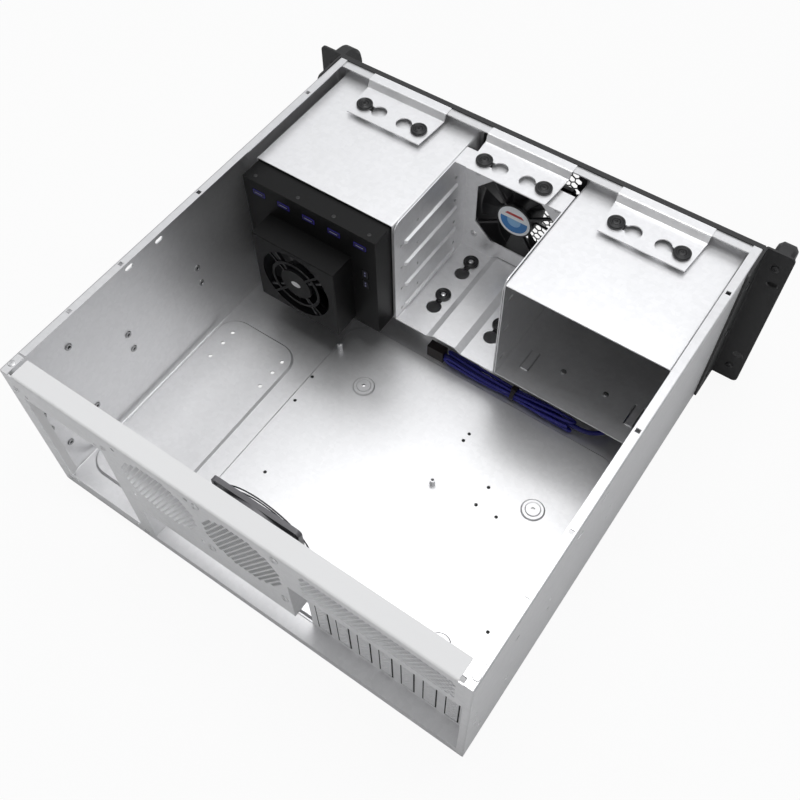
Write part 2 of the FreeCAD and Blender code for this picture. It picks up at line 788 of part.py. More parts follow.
def front_frame():
    """Zinc-plated wall behind the front panel, folded back all round."""
    edge = inner - seam
    low = sheet + seam
    shell = box(-edge, edge, panel_sheet, panel_sheet + frame_flange, low, frame_top)
    core = box(-edge + sheet, edge - sheet, frame_rear, panel_sheet + frame_flange + 1, low + sheet,
               frame_top - sheet)
    wall = shell.cut(core)
    lip = half - flange - seam
    cuts = []
    for side in (-1, 1):
        x0, x1 = sorted([side * (bay_inner_edge + cage_sheet), side * (bay_outer_edge - cage_sheet)])
        cuts.append(box(x0, x1, panel_sheet - 1, frame_rear + 1, cage_bottom + cage_sheet,
                        cage_top - cage_sheet))
        x0, x1 = sorted([side * lip, side * (edge + 1)])
        cuts.append(box(x0, x1, panel_rim + 2 * seam, panel_sheet + frame_flange + 1,
                        frame_top - sheet - bend, frame_top + 1))
    grow = mesh_border + seam
    cuts.append(box(-mesh_half_width - grow, mesh_half_width + grow, panel_sheet - 1, frame_rear + 1,
                    mesh_bottom - grow, mesh_top + grow))
    strip_hole = board_half_height + 1
    cuts.append(box(board_left - 1, board_right + 1, panel_sheet - 1, frame_rear + 1,
                    control_z - strip_hole, control_z + strip_hole))
    return wall.cut(cuts)


def front_panel():
    """Black front sheet with a folded rim, cut for the bays, the fan mesh and the controls."""
    low, high = seam, body_height
    shell = box(-half, half, 0, panel_rim, low, high)
    core = box(-half + sheet, half - sheet, panel_sheet, panel_rim + 1, low + sheet, high - sheet)
    panel = shell.cut(core)
    rims = [e for e in panel.Edges if e.BoundBox.YMax < 0.01 and e.Length > body_height / 2]
    panel = panel.makeFillet(1.0, rims)
    side_cut = [box(side * half - sheet - 1, side * half + sheet + 1, frame_rear - seam,
                    panel_rim + 1, 0, high - sheet) for side in (-1, 1)]
    floor_cut = box(-half, half, frame_rear - seam, panel_rim + 1, 0, low + sheet + seam)
    holes = []
    for side in (-1, 1):
        x0, x1 = sorted([side * (bay_inner_edge + cage_sheet), side * (bay_outer_edge - cage_sheet)])
        holes.append(box(x0, x1, -1, panel_sheet + 1, cage_bottom + cage_sheet, cage_top - cage_sheet))
    holes.append(box(-mesh_half_width, mesh_half_width, -1, panel_sheet + 1, mesh_bottom, mesh_top))
    holes.append(rod((power_x, -1, control_z), power_radius + button_gap, panel_sheet + 2, ALONG_Y))
    holes.append(rod((reset_x, -1, control_z), reset_radius + button_gap, panel_sheet + 2, ALONG_Y))
    holes += [rod((x, -1, control_z), lamp_radius + seam, panel_sheet + 2, ALONG_Y) for x in lamp_x]
    holes += [box(x - usb_width / 2 - seam, x + usb_width / 2 + seam, -1, panel_sheet + 1,
                  control_z - usb_height / 2 - seam, control_z + usb_height / 2 + seam) for x in usb_x]
    return panel.cut(side_cut + [floor_cut] + holes).removeSplitter()


def fan_mesh():
    """Black honeycomb sheet behind the front panel's middle opening."""
    spots = hex_grid(-mesh_half_width + mesh_hole, mesh_half_width - mesh_hole,
                     mesh_bottom + mesh_hole, mesh_top - mesh_hole, mesh_pitch)
    holes = [polygon(u, v, mesh_hole, 6, 90) for u, v in spots]
    border = rectangle(-mesh_half_width - mesh_border, mesh_half_width + mesh_border,
                       mesh_bottom - mesh_border, mesh_top + mesh_border)
    return plate("xz", panel_sheet, mesh_sheet, border, holes)


# ---- Cages and brackets ----------------------------------------------------------------
def bay_cage(side):
    """Folded tube for three full-width drives, open at both ends; side is +1 or -1."""
    tube = box(bay_inner_edge, bay_outer_edge, frame_rear, cage_rear, cage_bottom, cage_top)
    long_edges = [e for e in tube.Edges if abs(e.Vertexes[0].Y - e.Vertexes[1].Y) > 1]
    tube = tube.makeFillet(bend + cage_sheet, long_edges)
    hollow = box(bay_inner_edge + cage_sheet, bay_outer_edge - cage_sheet, frame_rear - 1,
                 cage_rear + 1, cage_bottom + cage_sheet, cage_top - cage_sheet)
    long_edges = [e for e in hollow.Edges if abs(e.Vertexes[0].Y - e.Vertexes[1].Y) > 1]
    tube = tube.cut(hollow.makeFillet(bend, long_edges))
    foot = box(bay_inner_edge + 2, bay_outer_edge - 2, frame_rear, frame_rear + cage_sheet,
               cage_bottom - cage_foot, cage_bottom + cage_sheet)
    cuts = []
    unit = (cage_height - 2 * cage_sheet) / blank_count
    for k in range(blank_count):
        z = cage_bottom + cage_sheet + unit * (k + 0.35)
        for y in (cage_rear - bay_slot_inset, cage_rear - bay_slot_reach):
            cuts.append(plate("yz", bay_inner_edge - 1, cage_width + 2,
                              obround(y, z, bay_slot_length, bay_slot_width)))
    bridges = [box(bay_outer_edge - bend - tail_width, bay_outer_edge - bend - 2, cage_rear - 1,
                   cage_rear + tail_length, cage_bottom, cage_bottom + cage_sheet)]
    for x in (bay_inner_edge + lance_inset, bay_outer_edge - lance_inset - lance_width):
        for edge in (x, x + lance_width - lance_slit):
            cuts.append(box(edge, edge + lance_slit, lance_front, lance_front + lance_length,
                            cage_bottom - 1, cage_bottom + cage_sheet + 1))
        if side < 0:
            bridges.append(box(x + lance_slit, x + lance_width - lance_slit,
                               lance_front + lance_length * 0.72, lance_front + lance_length,
                               cage_bottom + cage_sheet, cage_bottom + cage_sheet * 2.4))
    cuts += [rod((bay_centre + s * bay_rivet_x, bay_rivet_y, cage_bottom - 1), bay_rivet, 3, ALONG_Z)
             for s in (-1, 1)]
    cuts += [rod((bay_centre + s * grommet_half_pitch, grommet_y, cage_top - 3), grommet_screw, 4,
                 ALONG_Z) for s in (-1, 1)]
    cage = tube.fuse([foot] + bridges).cut(cuts).removeSplitter()
    return cage if side > 0 else cage.mirror(V(0, 0, 0), ALONG_X)


def middle_cage():
    """Drive cage between the bays: ribbed walls, ridged shelf and a fan wall with an octagon."""
    floor = cage_bottom - cage_sheet
    section = strip([(-middle_half, cage_top), (-middle_half, floor), (-ridge_foot, floor),
                     (-ridge_top, floor + ridge_rise), (ridge_top, floor + ridge_rise),
                     (ridge_foot, floor), (middle_half, floor), (middle_half, cage_top)],
                    cage_sheet, bend)
    shell = plate("xz", fan_wall_y, cage_rear - fan_wall_y, section)
    wall = middle_half - cage_sheet
    ribs = []
    cuts = []
    for k in range(rib_count):
        z = rib_bottom + rib_pitch * k
        for side in (-1, 1):
            foot = [V(side * wall, rib_start, z - rib_half), V(side * wall, rib_end, z - rib_half),
                    V(side * wall, rib_end, z + rib_half), V(side * wall, rib_start, z + rib_half)]
            crest = side * (wall - rib_proud)
            top = [V(crest, rib_start + rib_proud, z - rib_half / 2),
                   V(crest, rib_end - rib_proud, z - rib_half / 2),
                   V(crest, rib_end - rib_proud, z + rib_half / 2),
                   V(crest, rib_start + rib_proud, z + rib_half / 2)]
            ribs.append(Part.makeLoft([Part.makePolygon(foot + foot[:1]),
                                       Part.makePolygon(top + top[:1])], True, True))
        cuts.append(plate("yz", -middle_half - 1, 2 * middle_half + 2,
                          outline([(rib_end + rib_proud + rib_hole, z - rib_hole / 2, 0),
                                   (rib_end + rib_proud + rib_hole, z + rib_hole / 2, 0),
                                   (rib_end + rib_proud, z, 0)])))
        for y in drive_hole_columns:
            if z + drive_hole_rise < cage_top - 2:
                cuts.append(rod((-middle_half - 1, y, z + drive_hole_rise), drive_hole,
                                2 * middle_half + 2, ALONG_X))
    a, b = octagon_half, octagon_half - octagon_corner
    octagon = outline([(b, -a, 0), (a, -b, 0), (a, b, 0), (b, a, 0), (-b, a, 0), (-a, b, 0),
                       (-a, -b, 0), (-b, -a, 0)])
    octagon.translate(V(0, front_fan_z, 0))
    foot = ridge_rise + 2 * cage_sheet
    border = outline([(-wall, floor + cage_sheet, 0), (-ridge_foot, floor + cage_sheet, 0),
                      (-ridge_top, floor + foot, 0), (ridge_top, floor + foot, 0),
                      (ridge_foot, floor + cage_sheet, 0), (wall, floor + cage_sheet, 0),
                      (wall, cage_top, 0), (-wall, cage_top, 0)])
    fan_holes = [disc(u, v, fan_hole) for u, v in fan_corners(0, front_fan_z, front_fan_holes)]
    fan_wall = plate("xz", fan_wall_y, cage_sheet, border, [octagon] + fan_holes)
    strap = box(-wall, wall, fan_wall_y, fan_wall_y + strap_depth, cage_top - cage_sheet, cage_top)
    cage = shell.fuse(ribs + [fan_wall, strap])
    for side in (-1, 1):
        for y in shelf_grommet_y:
            cuts += keyhole(side * shelf_grommet_x, y, 0, key_shift, floor - 1, cage_sheet + 2)
    cuts += [rod((s * grommet_half_pitch, grommet_y, cage_top - 3), grommet_screw, 4, ALONG_Z)
             for s in (-1, 1)]
    corner = box(-middle_half - 1, middle_half + 1, cage_rear - wall_corner, cage_rear + 1,
                 cage_top - wall_corner, cage_top + 1)
    round_off = rod((-middle_half - 2, cage_rear - wall_corner, cage_top - wall_corner), wall_corner,
                    2 * middle_half + 4, ALONG_X)
    cuts.append(corner.cut(round_off))
    return cage.cut(cuts).removeSplitter()


def keyhole(x, y, dx, dy, bottom, height):
    """Cutters for a round entry hole joined to the narrow seat of a grommet's neck."""
    neck = grommet_neck + seam
    seat = rod((x, y, bottom), neck, height, ALONG_Z)
    entry = rod((x + dx, y + dy, bottom), key_entry, height, ALONG_Z)
    if dx:
        x0, x1 = sorted([x, x + dx])
        channel = box(x0, x1, y - neck * 0.72, y + neck * 0.72, bottom, bottom + height)
    else:
        channel = box(x - neck * 0.72, x + neck * 0.72, y, y + dy, bottom, bottom + height)
    return [seat, entry, channel]


def top_bracket(x):
    """Stepped bracket from the front frame's flange to a cage top, with two keyholes."""
    under = bracket_under
    section = strip([(bracket_rear, under), (bracket_step + bracket_ramp, under),
                     (bracket_step, frame_top), (bracket_front, frame_top)], -bracket_sheet, bend)
    front_half, rear_half = bracket_front_width / 2, bracket_rear_width / 2
    blank = plate("yz", x - front_half, 2 * front_half, section)
    plan = outline([(x - front_half, bracket_front - 1, 0), (x + front_half, bracket_front - 1, 0),
                    (x + front_half, bracket_step, 0), (x + rear_half, bracket_rear, 0),
                    (x - rear_half, bracket_rear, 0), (x - front_half, bracket_step, 0)])
    blank = blank.common(plate("xy", under - 1, body_height, plan))
    cuts = []
    for side in (-1, 1):
        cuts += keyhole(x + side * grommet_half_pitch, grommet_y, -side * key_shift, 0,
                        under - 1, bracket_sheet + 2)
    return blank.cut(cuts)


def grommet(centre, under, neck_height, below):
    """Rubber spool round a sheet: cap above, neck through it and a foot below."""
    top = under + neck_height + grommet_cap
    well = grommet_head_height
    rim = grommet_rim
    profile = [(grommet_bore, under - below), (grommet_radius, under - below),
               (grommet_radius, under), (grommet_neck, under), (grommet_neck, under + neck_height),
               (grommet_radius, under + neck_height), (grommet_radius, top - rim),
               (grommet_radius - rim, top), (grommet_head + seam, top),
               (grommet_head + seam, top - well), (grommet_bore, top - well)]
    return turned(profile, (centre[0], centre[1], 0))


def bracket_spots():
    return [(x + side * grommet_half_pitch, grommet_y) for x in bracket_x for side in (-1, 1)]


def shelf_spots():
    return [(side * shelf_grommet_x, y) for side in (-1, 1) for y in shelf_grommet_y]


def bracket_grommets():
    return group([grommet(spot, bracket_under, bracket_sheet, bracket_lift)
                  for spot in bracket_spots()])


def shelf_grommets():
    return group([grommet(spot, cage_bottom - cage_sheet, cage_sheet, shelf_cap_below)
                  for spot in shelf_spots()])


def grommet_screws():
    """Screws down the grommets: six into the cages' tops and four through the drive shelf."""
    hung = bracket_under + bracket_sheet + grommet_cap - grommet_head_height
    shelf = cage_bottom + grommet_cap - grommet_head_height
    places = [(spot, hung, hung - cage_top + grommet_screw_below) for spot in bracket_spots()]
    places += [(spot, shelf, shelf - cage_bottom + shelf_screw_below) for spot in shelf_spots()]
    return group([pan_screw((x, y, seat), grommet_screw - seam, reach, grommet_head,
                            grommet_head_height, ALONG_Z) for (x, y), seat, reach in places])


# ---- Fans ------------------------------------------------------------------------------
def fan_frame(size, holes, hub):
    """Square fan housing: two flanges, a round duct, struts to the motor plate and its bearing."""
    duct = size / 2 - fan_wall
    body = rod((0, 0, 0), size / 2, fan_depth, ALONG_Y)
    edge = size / 2
    square = rectangle(-edge, edge, -edge, edge, fan_corner)
    screw = [disc(u, v, fan_hole) for u, v in fan_corners(0, 0, holes)]
    flanges = [plate("xz", y, fan_flange, square, screw) for y in (0, fan_depth - fan_flange)]
    body = body.fuse(flanges).cut(rod((0, -1, 0), duct, fan_depth + 2, ALONG_Y))
    base = rod((0, fan_depth - fan_base, 0), hub, fan_base, ALONG_Y)
    struts = []
    for k in range(4):
        strut = box(0, duct + fan_wall / 2, fan_depth - fan_base, fan_depth, -fan_strut / 2,
                    fan_strut / 2)
        strut.rotate(V(0, 0, 0), ALONG_Y, 90 * k + fan_strut_turn)
        struts.append(strut)
    bearing = rod((0, fan_depth - bearing_length, 0), bearing_radius, bearing_length - fan_base / 2,
                  ALONG_Y)
    bore = rod((0, fan_depth - bearing_length - 1, 0), shaft_radius + shaft_clearance,
               bearing_length + 1 - bore_slack, ALONG_Y)
    return body.fuse([base, bearing] + struts).cut(bore).removeSplitter()


def fan_blade(root, tip, angle):
    """One blade: a bowed section, steep at the hub, that flattens and widens towards the tip."""
    wires = []
    for radius, pitch, chord in ((root, blade_root_pitch, blade_root_chord),
                                 (tip + fan_wall, blade_tip_pitch, blade_tip_chord)):
        lean = math.radians(pitch)
        span = chord / 2 * math.cos(lean)
        rise = chord / 2 * math.sin(lean)
        lower = [(-span, -rise), (0.0, blade_bow), (span, rise)]
        upper = [(x, y + blade_thick / math.cos(lean)) for x, y in reversed(lower)]
        ring = [V(x, y, radius) for x, y in lower + upper]
        wires.append(Part.makePolygon(ring + ring[:1]))
    blade = Part.makeLoft(wires, True, True)
    blade = blade.common(rod((0, -fan_depth, 0), tip, 2 * fan_depth, ALONG_Y))
    blade.rotate(V(0, 0, 0), ALONG_Y, angle)
    return blade


def fan_rotor(size, hub):
    """Hub cup, swept blades and the shaft that runs in the housing's bearing."""
    cup_rear = fan_depth - fan_base - cup_gap
    cup = rod((0, cup_front, 0), hub, cup_rear - cup_front, ALONG_Y)
    cup = cup.makeChamfer(fan_skin / 2, [e for e in cup.Edges if e.BoundBox.YMax < cup_front + 0.01])
    hollow = rod((0, cup_front + fan_skin, 0), hub - fan_skin, cup_rear, ALONG_Y)
    tip = size / 2 - fan_wall - fan_tip_gap
    middle = (cup_front + cup_rear) / 2
    blades = [fan_blade(hub - fan_skin * 0.9, tip, 360.0 * k / fan_blades)
              for k in range(fan_blades)]
    for blade in blades:
        blade.translate(V(0, middle - blade_bow, 0))
    rotor = cup.fuse(blades).cut(hollow)
    shaft = rod((0, cup_front + fan_skin / 2, 0), shaft_radius,
                fan_depth - bore_slack - fan_skin - cup_front, ALONG_Y)
    return rotor.fuse(shaft).removeSplitter()


def at(shape, x, y, z):
    moved = shape.copy()
    moved.translate(V(x, y, z))
    return moved


def fan_screws(x, z, pitch, head_y):
    return [pan_screw((u, head_y, v), fan_screw, fan_screw_reach, fan_screw_head,
                      fan_screw_head_height, ALONG_Y) for u, v in fan_corners(x, z, pitch)]


# ---- Front fittings --------------------------------------------------------------------
def bay_blank(k):
    """Moulded cover for one empty bay: a face and a shallow rim with two side clips."""
    unit = (cage_height - 2 * cage_sheet) / blank_count
    low = cage_bottom + cage_sheet + unit * k + blank_gap / 2
    high = low + unit - blank_gap
    x0 = -(bay_outer_edge - cage_sheet - blank_gap)
    x1 = -(bay_inner_edge + cage_sheet + blank_gap)
    shell = box(x0, x1, -blank_proud, blank_depth, low, high)
    face_edges = [e for e in shell.Edges if e.BoundBox.YMax < 0.1 - blank_proud]
    shell = shell.makeFillet(1.0, face_edges)
    core = box(x0 + blank_wall, x1 - blank_wall, blank_wall - blank_proud, blank_depth + 1,
               low + blank_wall, high - blank_wall)
    middle = (low + high) / 2
    notches = [box(x - blank_notch, x + blank_notch, blank_depth / 2, blank_depth + 1, low - 1,
                   high + 1) for x in (x0 + blank_notch_inset, x1 - blank_notch_inset)]
    clips = [box(a, a + blank_wall + blank_gap, blank_clip_front, blank_clip_rear,
                 middle - blank_clip_half, middle + blank_clip_half)
             for a in (x0 - blank_gap, x1 - blank_wall)]
    return shell.cut([core] + notches).fuse(clips).removeSplitter()


def button(x, radius):
    """Push button: a cap through the panel and a collar that keeps it in."""
    cap = rod((x, -button_proud, control_z), radius, button_proud + panel_sheet + button_inside,
              ALONG_Y)
    cap = cap.makeChamfer(0.5, [e for e in cap.Edges if e.BoundBox.YMax < 0.01 - button_proud])
    start = panel_sheet + seam * 2
    collar = rod((x, start, control_z), radius + button_collar, button_collar_thick, ALONG_Y)
    return cap.fuse(collar)


def control_board():
    """Circuit board behind the controls, with the button switches and two pillars."""
    board = box(board_left, board_right, board_y, board_y + board_thick, control_z - board_half_height,
                control_z + board_half_height)
    parts = [board]
    switch_front = panel_sheet + button_inside + button_travel + button_slack
    for x in (power_x, reset_x):
        parts.append(box(x - switch_half, x + switch_half, switch_front, board_y,
                         control_z - switch_half, control_z + switch_half))
    parts += [rod((x, panel_sheet, control_z + board_half_height - pillar_inset), pillar_radius,
                  board_y - panel_sheet, ALONG_Y)
              for x in (board_left + pillar_inset, board_right - pillar_inset)]
    parts.append(box(header_x - header_half, header_x + header_half, board_y + board_thick,
                     board_y + board_thick + header_reach, control_z - header_half_height,
                     control_z + header_half_height))
    return fuse(parts)


def lamps():
    return group([rod((x, -lamp_proud, control_z), lamp_radius, board_y + lamp_proud, ALONG_Y)
                  for x in lamp_x])


def usb_ports():
    """Two upright metal sockets with their contact tongues."""
    ports = []
    for x in usb_x:
        half_w, half_h = usb_width / 2, usb_height / 2
        front = board_y - usb_depth
        shell = box(x - half_w, x + half_w, front, board_y, control_z - half_h, control_z + half_h)
        core = box(x - half_w + usb_wall, x + half_w - usb_wall, front - 1, board_y - 1,
                   control_z - half_h + usb_wall, control_z + half_h - usb_wall)
        tongue = box(x - half_w + 1.6, x + half_w - 1.6, front + 1, board_y - 0.5, control_z + 0.2,
                     control_z + 2.0)
        ports.append(shell.cut(core).fuse(tongue).removeSplitter())
    return group(ports)


# ---- Ears and handles ------------------------------------------------------------------
def ear(side):
    """Rack ear: one folded plate with two rack slots and a leg along the side wall."""
    low, high = seam, body_height
    reach = rack_width / 2
    section = strip([(half, ear_wall_depth), (half, 0), (reach, 0)], ear_sheet, bend)
    piece = plate("xy", low, high - low, section)
    corners = [0, ear_corner, ear_corner, 0]
    face_trim = outline([(half - 1, low, 0), (reach, low, 0), (reach, high, 0), (half - 1, high, 0)],
                        corners)
    leg_trim = outline([(-1, low, 0), (ear_wall_depth, low, 0), (ear_wall_depth, high, 0),
                        (-1, high, 0)], corners)
    piece = piece.common(plate("xz", -1, ear_wall_depth + 2, face_trim))
    piece = piece.common(plate("yz", half - 1, reach, leg_trim))
    holes = [rod((half - 1, ear_screw_y, z), ear_screw, 5, ALONG_X) for z in ear_screws_z]
    holes += [plate("xz", -1, ear_sheet + 2, obround(rack_hole_x / 2, z, rack_slot, 2 * rack_hole))
              for z in rack_hole_z]
    holes += [rod((handle_x, -1, z), handle_screw + seam, ear_sheet + 2, ALONG_Y)
              for z in handle_holes()]
    piece = piece.cut(holes)
    return piece if side > 0 else piece.mirror(V(0, 0, 0), ALONG_X)


def handle_holes():
    middle = body_height / 2
    return [middle - handle_pitch / 2, middle + handle_pitch / 2]


def handle(side):
    """Black pull handle: a rounded bar bent into a D, standing off the ear."""
    low, high = handle_holes()
    depth = handle_reach - handle_thick / 2
    corner = handle_bend
    path = [V(0, 0, low), V(0, -depth + corner, low), V(0, -depth, low + corner),
            V(0, -depth, high - corner), V(0, -depth + corner, high), V(0, 0, high)]
    turn = corner * (1 - math.sqrt(0.5))
    edges = [Part.LineSegment(path[0], path[1]).toShape(),
             Part.Arc(path[1], V(0, -depth + turn, low + turn), path[2]).toShape(),
             Part.LineSegment(path[2], path[3]).toShape(),
             Part.Arc(path[3], V(0, -depth + turn, high - turn), path[4]).toShape(),
             Part.LineSegment(path[4], path[5]).toShape()]
    spine = Part.Wire(edges)
    a, b, c = handle_width / 2, handle_thick / 2, handle_chamfer
    section = outline([(c - a, -b, 0), (a - c, -b, 0), (a, c - b, 0), (a, b - c, 0), (a - c, b, 0),
                       (c - a, b, 0), (-a, b - c, 0), (-a, c - b, 0)])
    section.rotate(V(0, 0, 0), ALONG_X, 90)
    section.translate(V(0, 0, low))
    bar = spine.makePipeShell([section], True, False)
    bar = bar if bar.Volume > 0 else bar.reversed()
    tapped = [rod((0, -handle_tapped, z), handle_screw - seam / 2, handle_tapped + 1, ALONG_Y)
              for z in (low, high)]
    bar = bar.cut(tapped)
    bar.translate(V(side * handle_x, 0, 0))
    return bar


def handle_screws(side):
    return group([pan_screw((side * handle_x, ear_sheet, z), handle_screw - seam,
                            handle_screw_reach, handle_screw_head, handle_screw_head_height, ALONG_Y)
                  for z in handle_holes()])


def ear_screws(side):
    way = V(side, 0, 0)
    return group([pan_screw((side * (half + ear_sheet), ear_screw_y, z), ear_screw - seam,
                            ear_screw_reach, ear_screw_head, ear_screw_head_height, way)
                  for z in ear_screws_z])


def rear_screws():
    """Two screws in the side flanges' rear tabs and four round the power supply's opening."""
    spot = half - flange / 2
    y = body_depth - rear_flange / 2
    screws = [pan_screw((side * spot, y, body_height), board_hole - seam, rear_screw_reach,
                        rear_screw_head, tab_screw_height, ALONG_Z) for side in (-1, 1)]
    screws += [pan_screw((x, body_depth, z), board_hole - seam, rear_screw_reach, rear_screw_head,
                         rear_screw_height, ALONG_Y) for x, z in frame_screw_spots()]
    return group(screws)


# ---- Board fixings ---------------------------------------------------------------------
def standoff_spots():
    return [(board_columns[0], board_rows[0]), (board_columns[1], board_rows[1])]


def standoffs():
    posts = []
    for x, y in standoff_spots():
        post = plate("xy", pad_top, standoff_height, polygon(x, y, standoff_flats / math.sqrt(3)))
        stud = rod((x, y, pad_top - sheet - 2), board_hole - seam, sheet + 3, ALONG_Z)
        bore = rod((x, y, pad_top + standoff_height - standoff_bore_depth), standoff_bore,
                   standoff_bore_depth + 1, ALONG_Z)
        posts.append(post.fuse(stud).cut(bore).removeSplitter())
    return group(posts)


def standoff_screw():
    x, y = standoff_spots()[0]
    return pan_screw((x, y, pad_top + standoff_height), standoff_bore - seam, board_screw_reach,
                     board_screw_head, board_screw_height, ALONG_Z)


# ---- Hot-swap module -------------------------------------------------------------------
def module_housing():
    """Black steel box, open at the front, its rear wall cut for the ports and the fan."""
    shell = box(module_left, module_right, module_front, module_rear, module_bottom, module_top)
    t = module_sheet
    core = box(module_left + t, module_right - t, module_front - 1, module_rear - t,
               module_bottom + t, module_top - t)
    cuts = [core]
    windows = [(x, port_z, data_port_width, data_port_height) for x in port_centres]
    windows += [(power_port_x, z, power_port_width, power_port_height) for z in power_port_z]
    for x, z, width, height in windows:
        across, up = width / 2 + port_gap, height / 2 + port_gap
        cuts.append(box(x - across, x + across, module_rear - t - 1, module_rear + 1, z - up, z + up))
    cuts += [rod((x, module_screw_y, module_top - t - 1), module_screw + seam, t + 2, ALONG_Z)
             for x in module_screw_spots]
    cuts.append(rod((fan_box_x, module_rear - t - 1, fan_box_z), guard_rings[1][1], t + 2, ALONG_Y))
    guides = []
    for x in [(tray_centres[k] + tray_centres[k + 1]) / 2 for k in range(tray_count - 1)]:
        for z in (module_bottom + t, module_top - t - guide_height):
            guides.append(box(x - guide_width / 2, x + guide_width / 2, module_front + 4, backplane_y - 8,
                              z, z + guide_height))
    return shell.cut(cuts).fuse(guides)


def backplane():
    """Circuit board across the back of the module."""
    gap = module_sheet
    board = box(module_left + gap, module_right - gap, backplane_y, backplane_y + board_thick,
                module_bottom + gap, module_top - gap)
    vents = [plate("xz", backplane_y - 1, board_thick + 2,
                   obround(fan_box_x + vent_slot_pitch * (k - 1.5), fan_box_z, vent_slot_length,
                           vent_slot_width, True)) for k in range(4)]
    return board.cut(vents)


def data_ports():
    ports = []
    for x in port_centres:
        start = backplane_y + board_thick
        across, up = data_port_width / 2, data_port_height / 2
        shell = box(x - across, x + across, start, port_rear, port_z - up, port_z + up)
        core = box(x - across + port_wall, x + across - port_wall, start + 2, port_rear + 1,
                   port_z - up + port_wall, port_z + up - port_wall)
        tongue = box(x - across + 2 * port_wall, x + across - 2 * port_wall, start + 1,
                     port_rear - port_wall, port_z - 0.5, port_z + 0.6)
        ports.append(shell.cut(core).fuse(tongue).removeSplitter())
    return group(ports)


def power_ports():
    ports = []
    for z in power_port_z:
        start = backplane_y + board_thick
        shell = box(power_port_x - power_port_width / 2, power_port_x + power_port_width / 2, start,
                    port_rear, z - power_port_height / 2, z + power_port_height / 2)
        middle = power_port_height / 4
        pins = [box(power_port_x - 1.6, power_port_x + 1.6, start + 2, port_rear + 1,
                    z + s * middle - 1.4, z + s * middle + 1.4) for s in (-1, 1)]
        ports.append(shell.cut(pins))
    return group(ports)


def fan_box():
    """Sheet box on the module's back whose rear face is cut into a round finger guard."""
    x0, x1 = fan_box_x - fan_box_width / 2, fan_box_x + fan_box_width / 2
    z0, z1 = fan_box_z - fan_box_height / 2, fan_box_z + fan_box_height / 2
    t = module_sheet
    shell = box(x0, x1, module_rear, fan_box_rear, z0, z1)
    shell = shell.makeFillet(1.0, [e for e in shell.Edges if e.BoundBox.YMin > fan_box_rear - 0.01])
    core = box(x0 + t, x1 - t, module_rear - 1, fan_box_rear - t, z0 + t, z1 - t)
    rings = []
    for small, large in guard_rings:
        ring = rod((fan_box_x, fan_box_rear - t - 1, fan_box_z), large, t + 2, ALONG_Y)
        rings.append(ring.cut(rod((fan_box_x, fan_box_rear - t - 2, fan_box_z), small, t + 4, ALONG_Y)))
    spokes = []
    for k in range(4):
        spoke = box(0, guard_rings[1][1] + 2, fan_box_rear - t - 2, fan_box_rear + 2,
                    -guard_spoke / 2, guard_spoke / 2)
        spoke.rotate(V(0, 0, 0), ALONG_Y, 90 * k + guard_turn)
        spoke.translate(V(fan_box_x, 0, fan_box_z))
        spokes.append(spoke)
    slots = [ring.cut(spokes) for ring in rings]
    return shell.cut([core] + slots).removeSplitter()


def module_screws():
    """Small screws along the top of the module's rear edge."""
    return group([pan_screw((x, module_screw_y, module_top), module_screw, module_screw_reach,
                            module_screw_head, module_screw_height, ALONG_Z)
                  for x in module_screw_spots])


def tray(k):
    """Drive tray: a front bezel with a pocket for its lever, and two rails tied at the back."""
    x = tray_centres[k]
    x0, x1 = x - tray_width / 2, x + tray_width / 2
    bezel = box(x0, x1, tray_front, module_front - tray_gap, tray_bottom, tray_top)
    bezel = bezel.makeFillet(1.2, [e for e in bezel.Edges if e.BoundBox.YMax < tray_front + 0.01])
    rear = module_front + tray_depth
    rails = [box(x0, x1, module_front - tray_gap, rear, z, z + tray_rail)
             for z in (tray_bottom, tray_top - tray_rail)]
    webs = [box(x1 - tray_web, x1, module_front - tray_gap, rear, z, z + tray_shelf)
            for z in (tray_bottom, tray_top - tray_shelf)]
    pocket = box(x - lever_width / 2 - tray_gap, x + lever_width / 2 + tray_gap, tray_front - 1,
                 tray_front + lever_thick + 0.6, lever_low - 1.0, lever_top + 1.0)
    highs = [tray_top - tray_slot_inset - tray_slot - tray_slot_pitch * i for i in range(3)]
    lows = [tray_bottom + tray_slot_inset + tray_slot_pitch * i for i in range(2)]
    grille = [box(x - tray_slot_half, x + tray_slot_half, tray_front - 1, module_front + 1, z,
                  z + tray_slot) for z in highs + lows]
    bore = rod((x0 - 1, pivot_y, pivot_z), lever_pin + lever_pin_clearance, tray_width + 2, ALONG_X)
    body = bezel.fuse(rails + webs).cut([pocket] + grille)
    return body.cut(bore).removeSplitter()


def tray_lever(k):
    """Swing-out handle of a tray, hinged near its foot on its own pin."""
    x = tray_centres[k]
    blade = box(x - lever_width / 2, x + lever_width / 2, tray_front, tray_front + lever_thick,
                pivot_z, lever_top)
    window = box(x - lever_width / 2 + lever_frame, x + lever_width / 2 - lever_frame, tray_front - 1,
                 tray_front + lever_thick + 1, pivot_z + 3 * lever_frame, lever_top - 4 * lever_frame)
    knuckle = rod((x - lever_width / 2, pivot_y, pivot_z), lever_thick / 2, lever_width, ALONG_X)
    ends = tray_width / 2 - 1.0
    pin = rod((x - ends, pivot_y, pivot_z), lever_pin, 2 * ends, ALONG_X)
    return blade.cut(window).fuse([knuckle, pin]).removeSplitter()


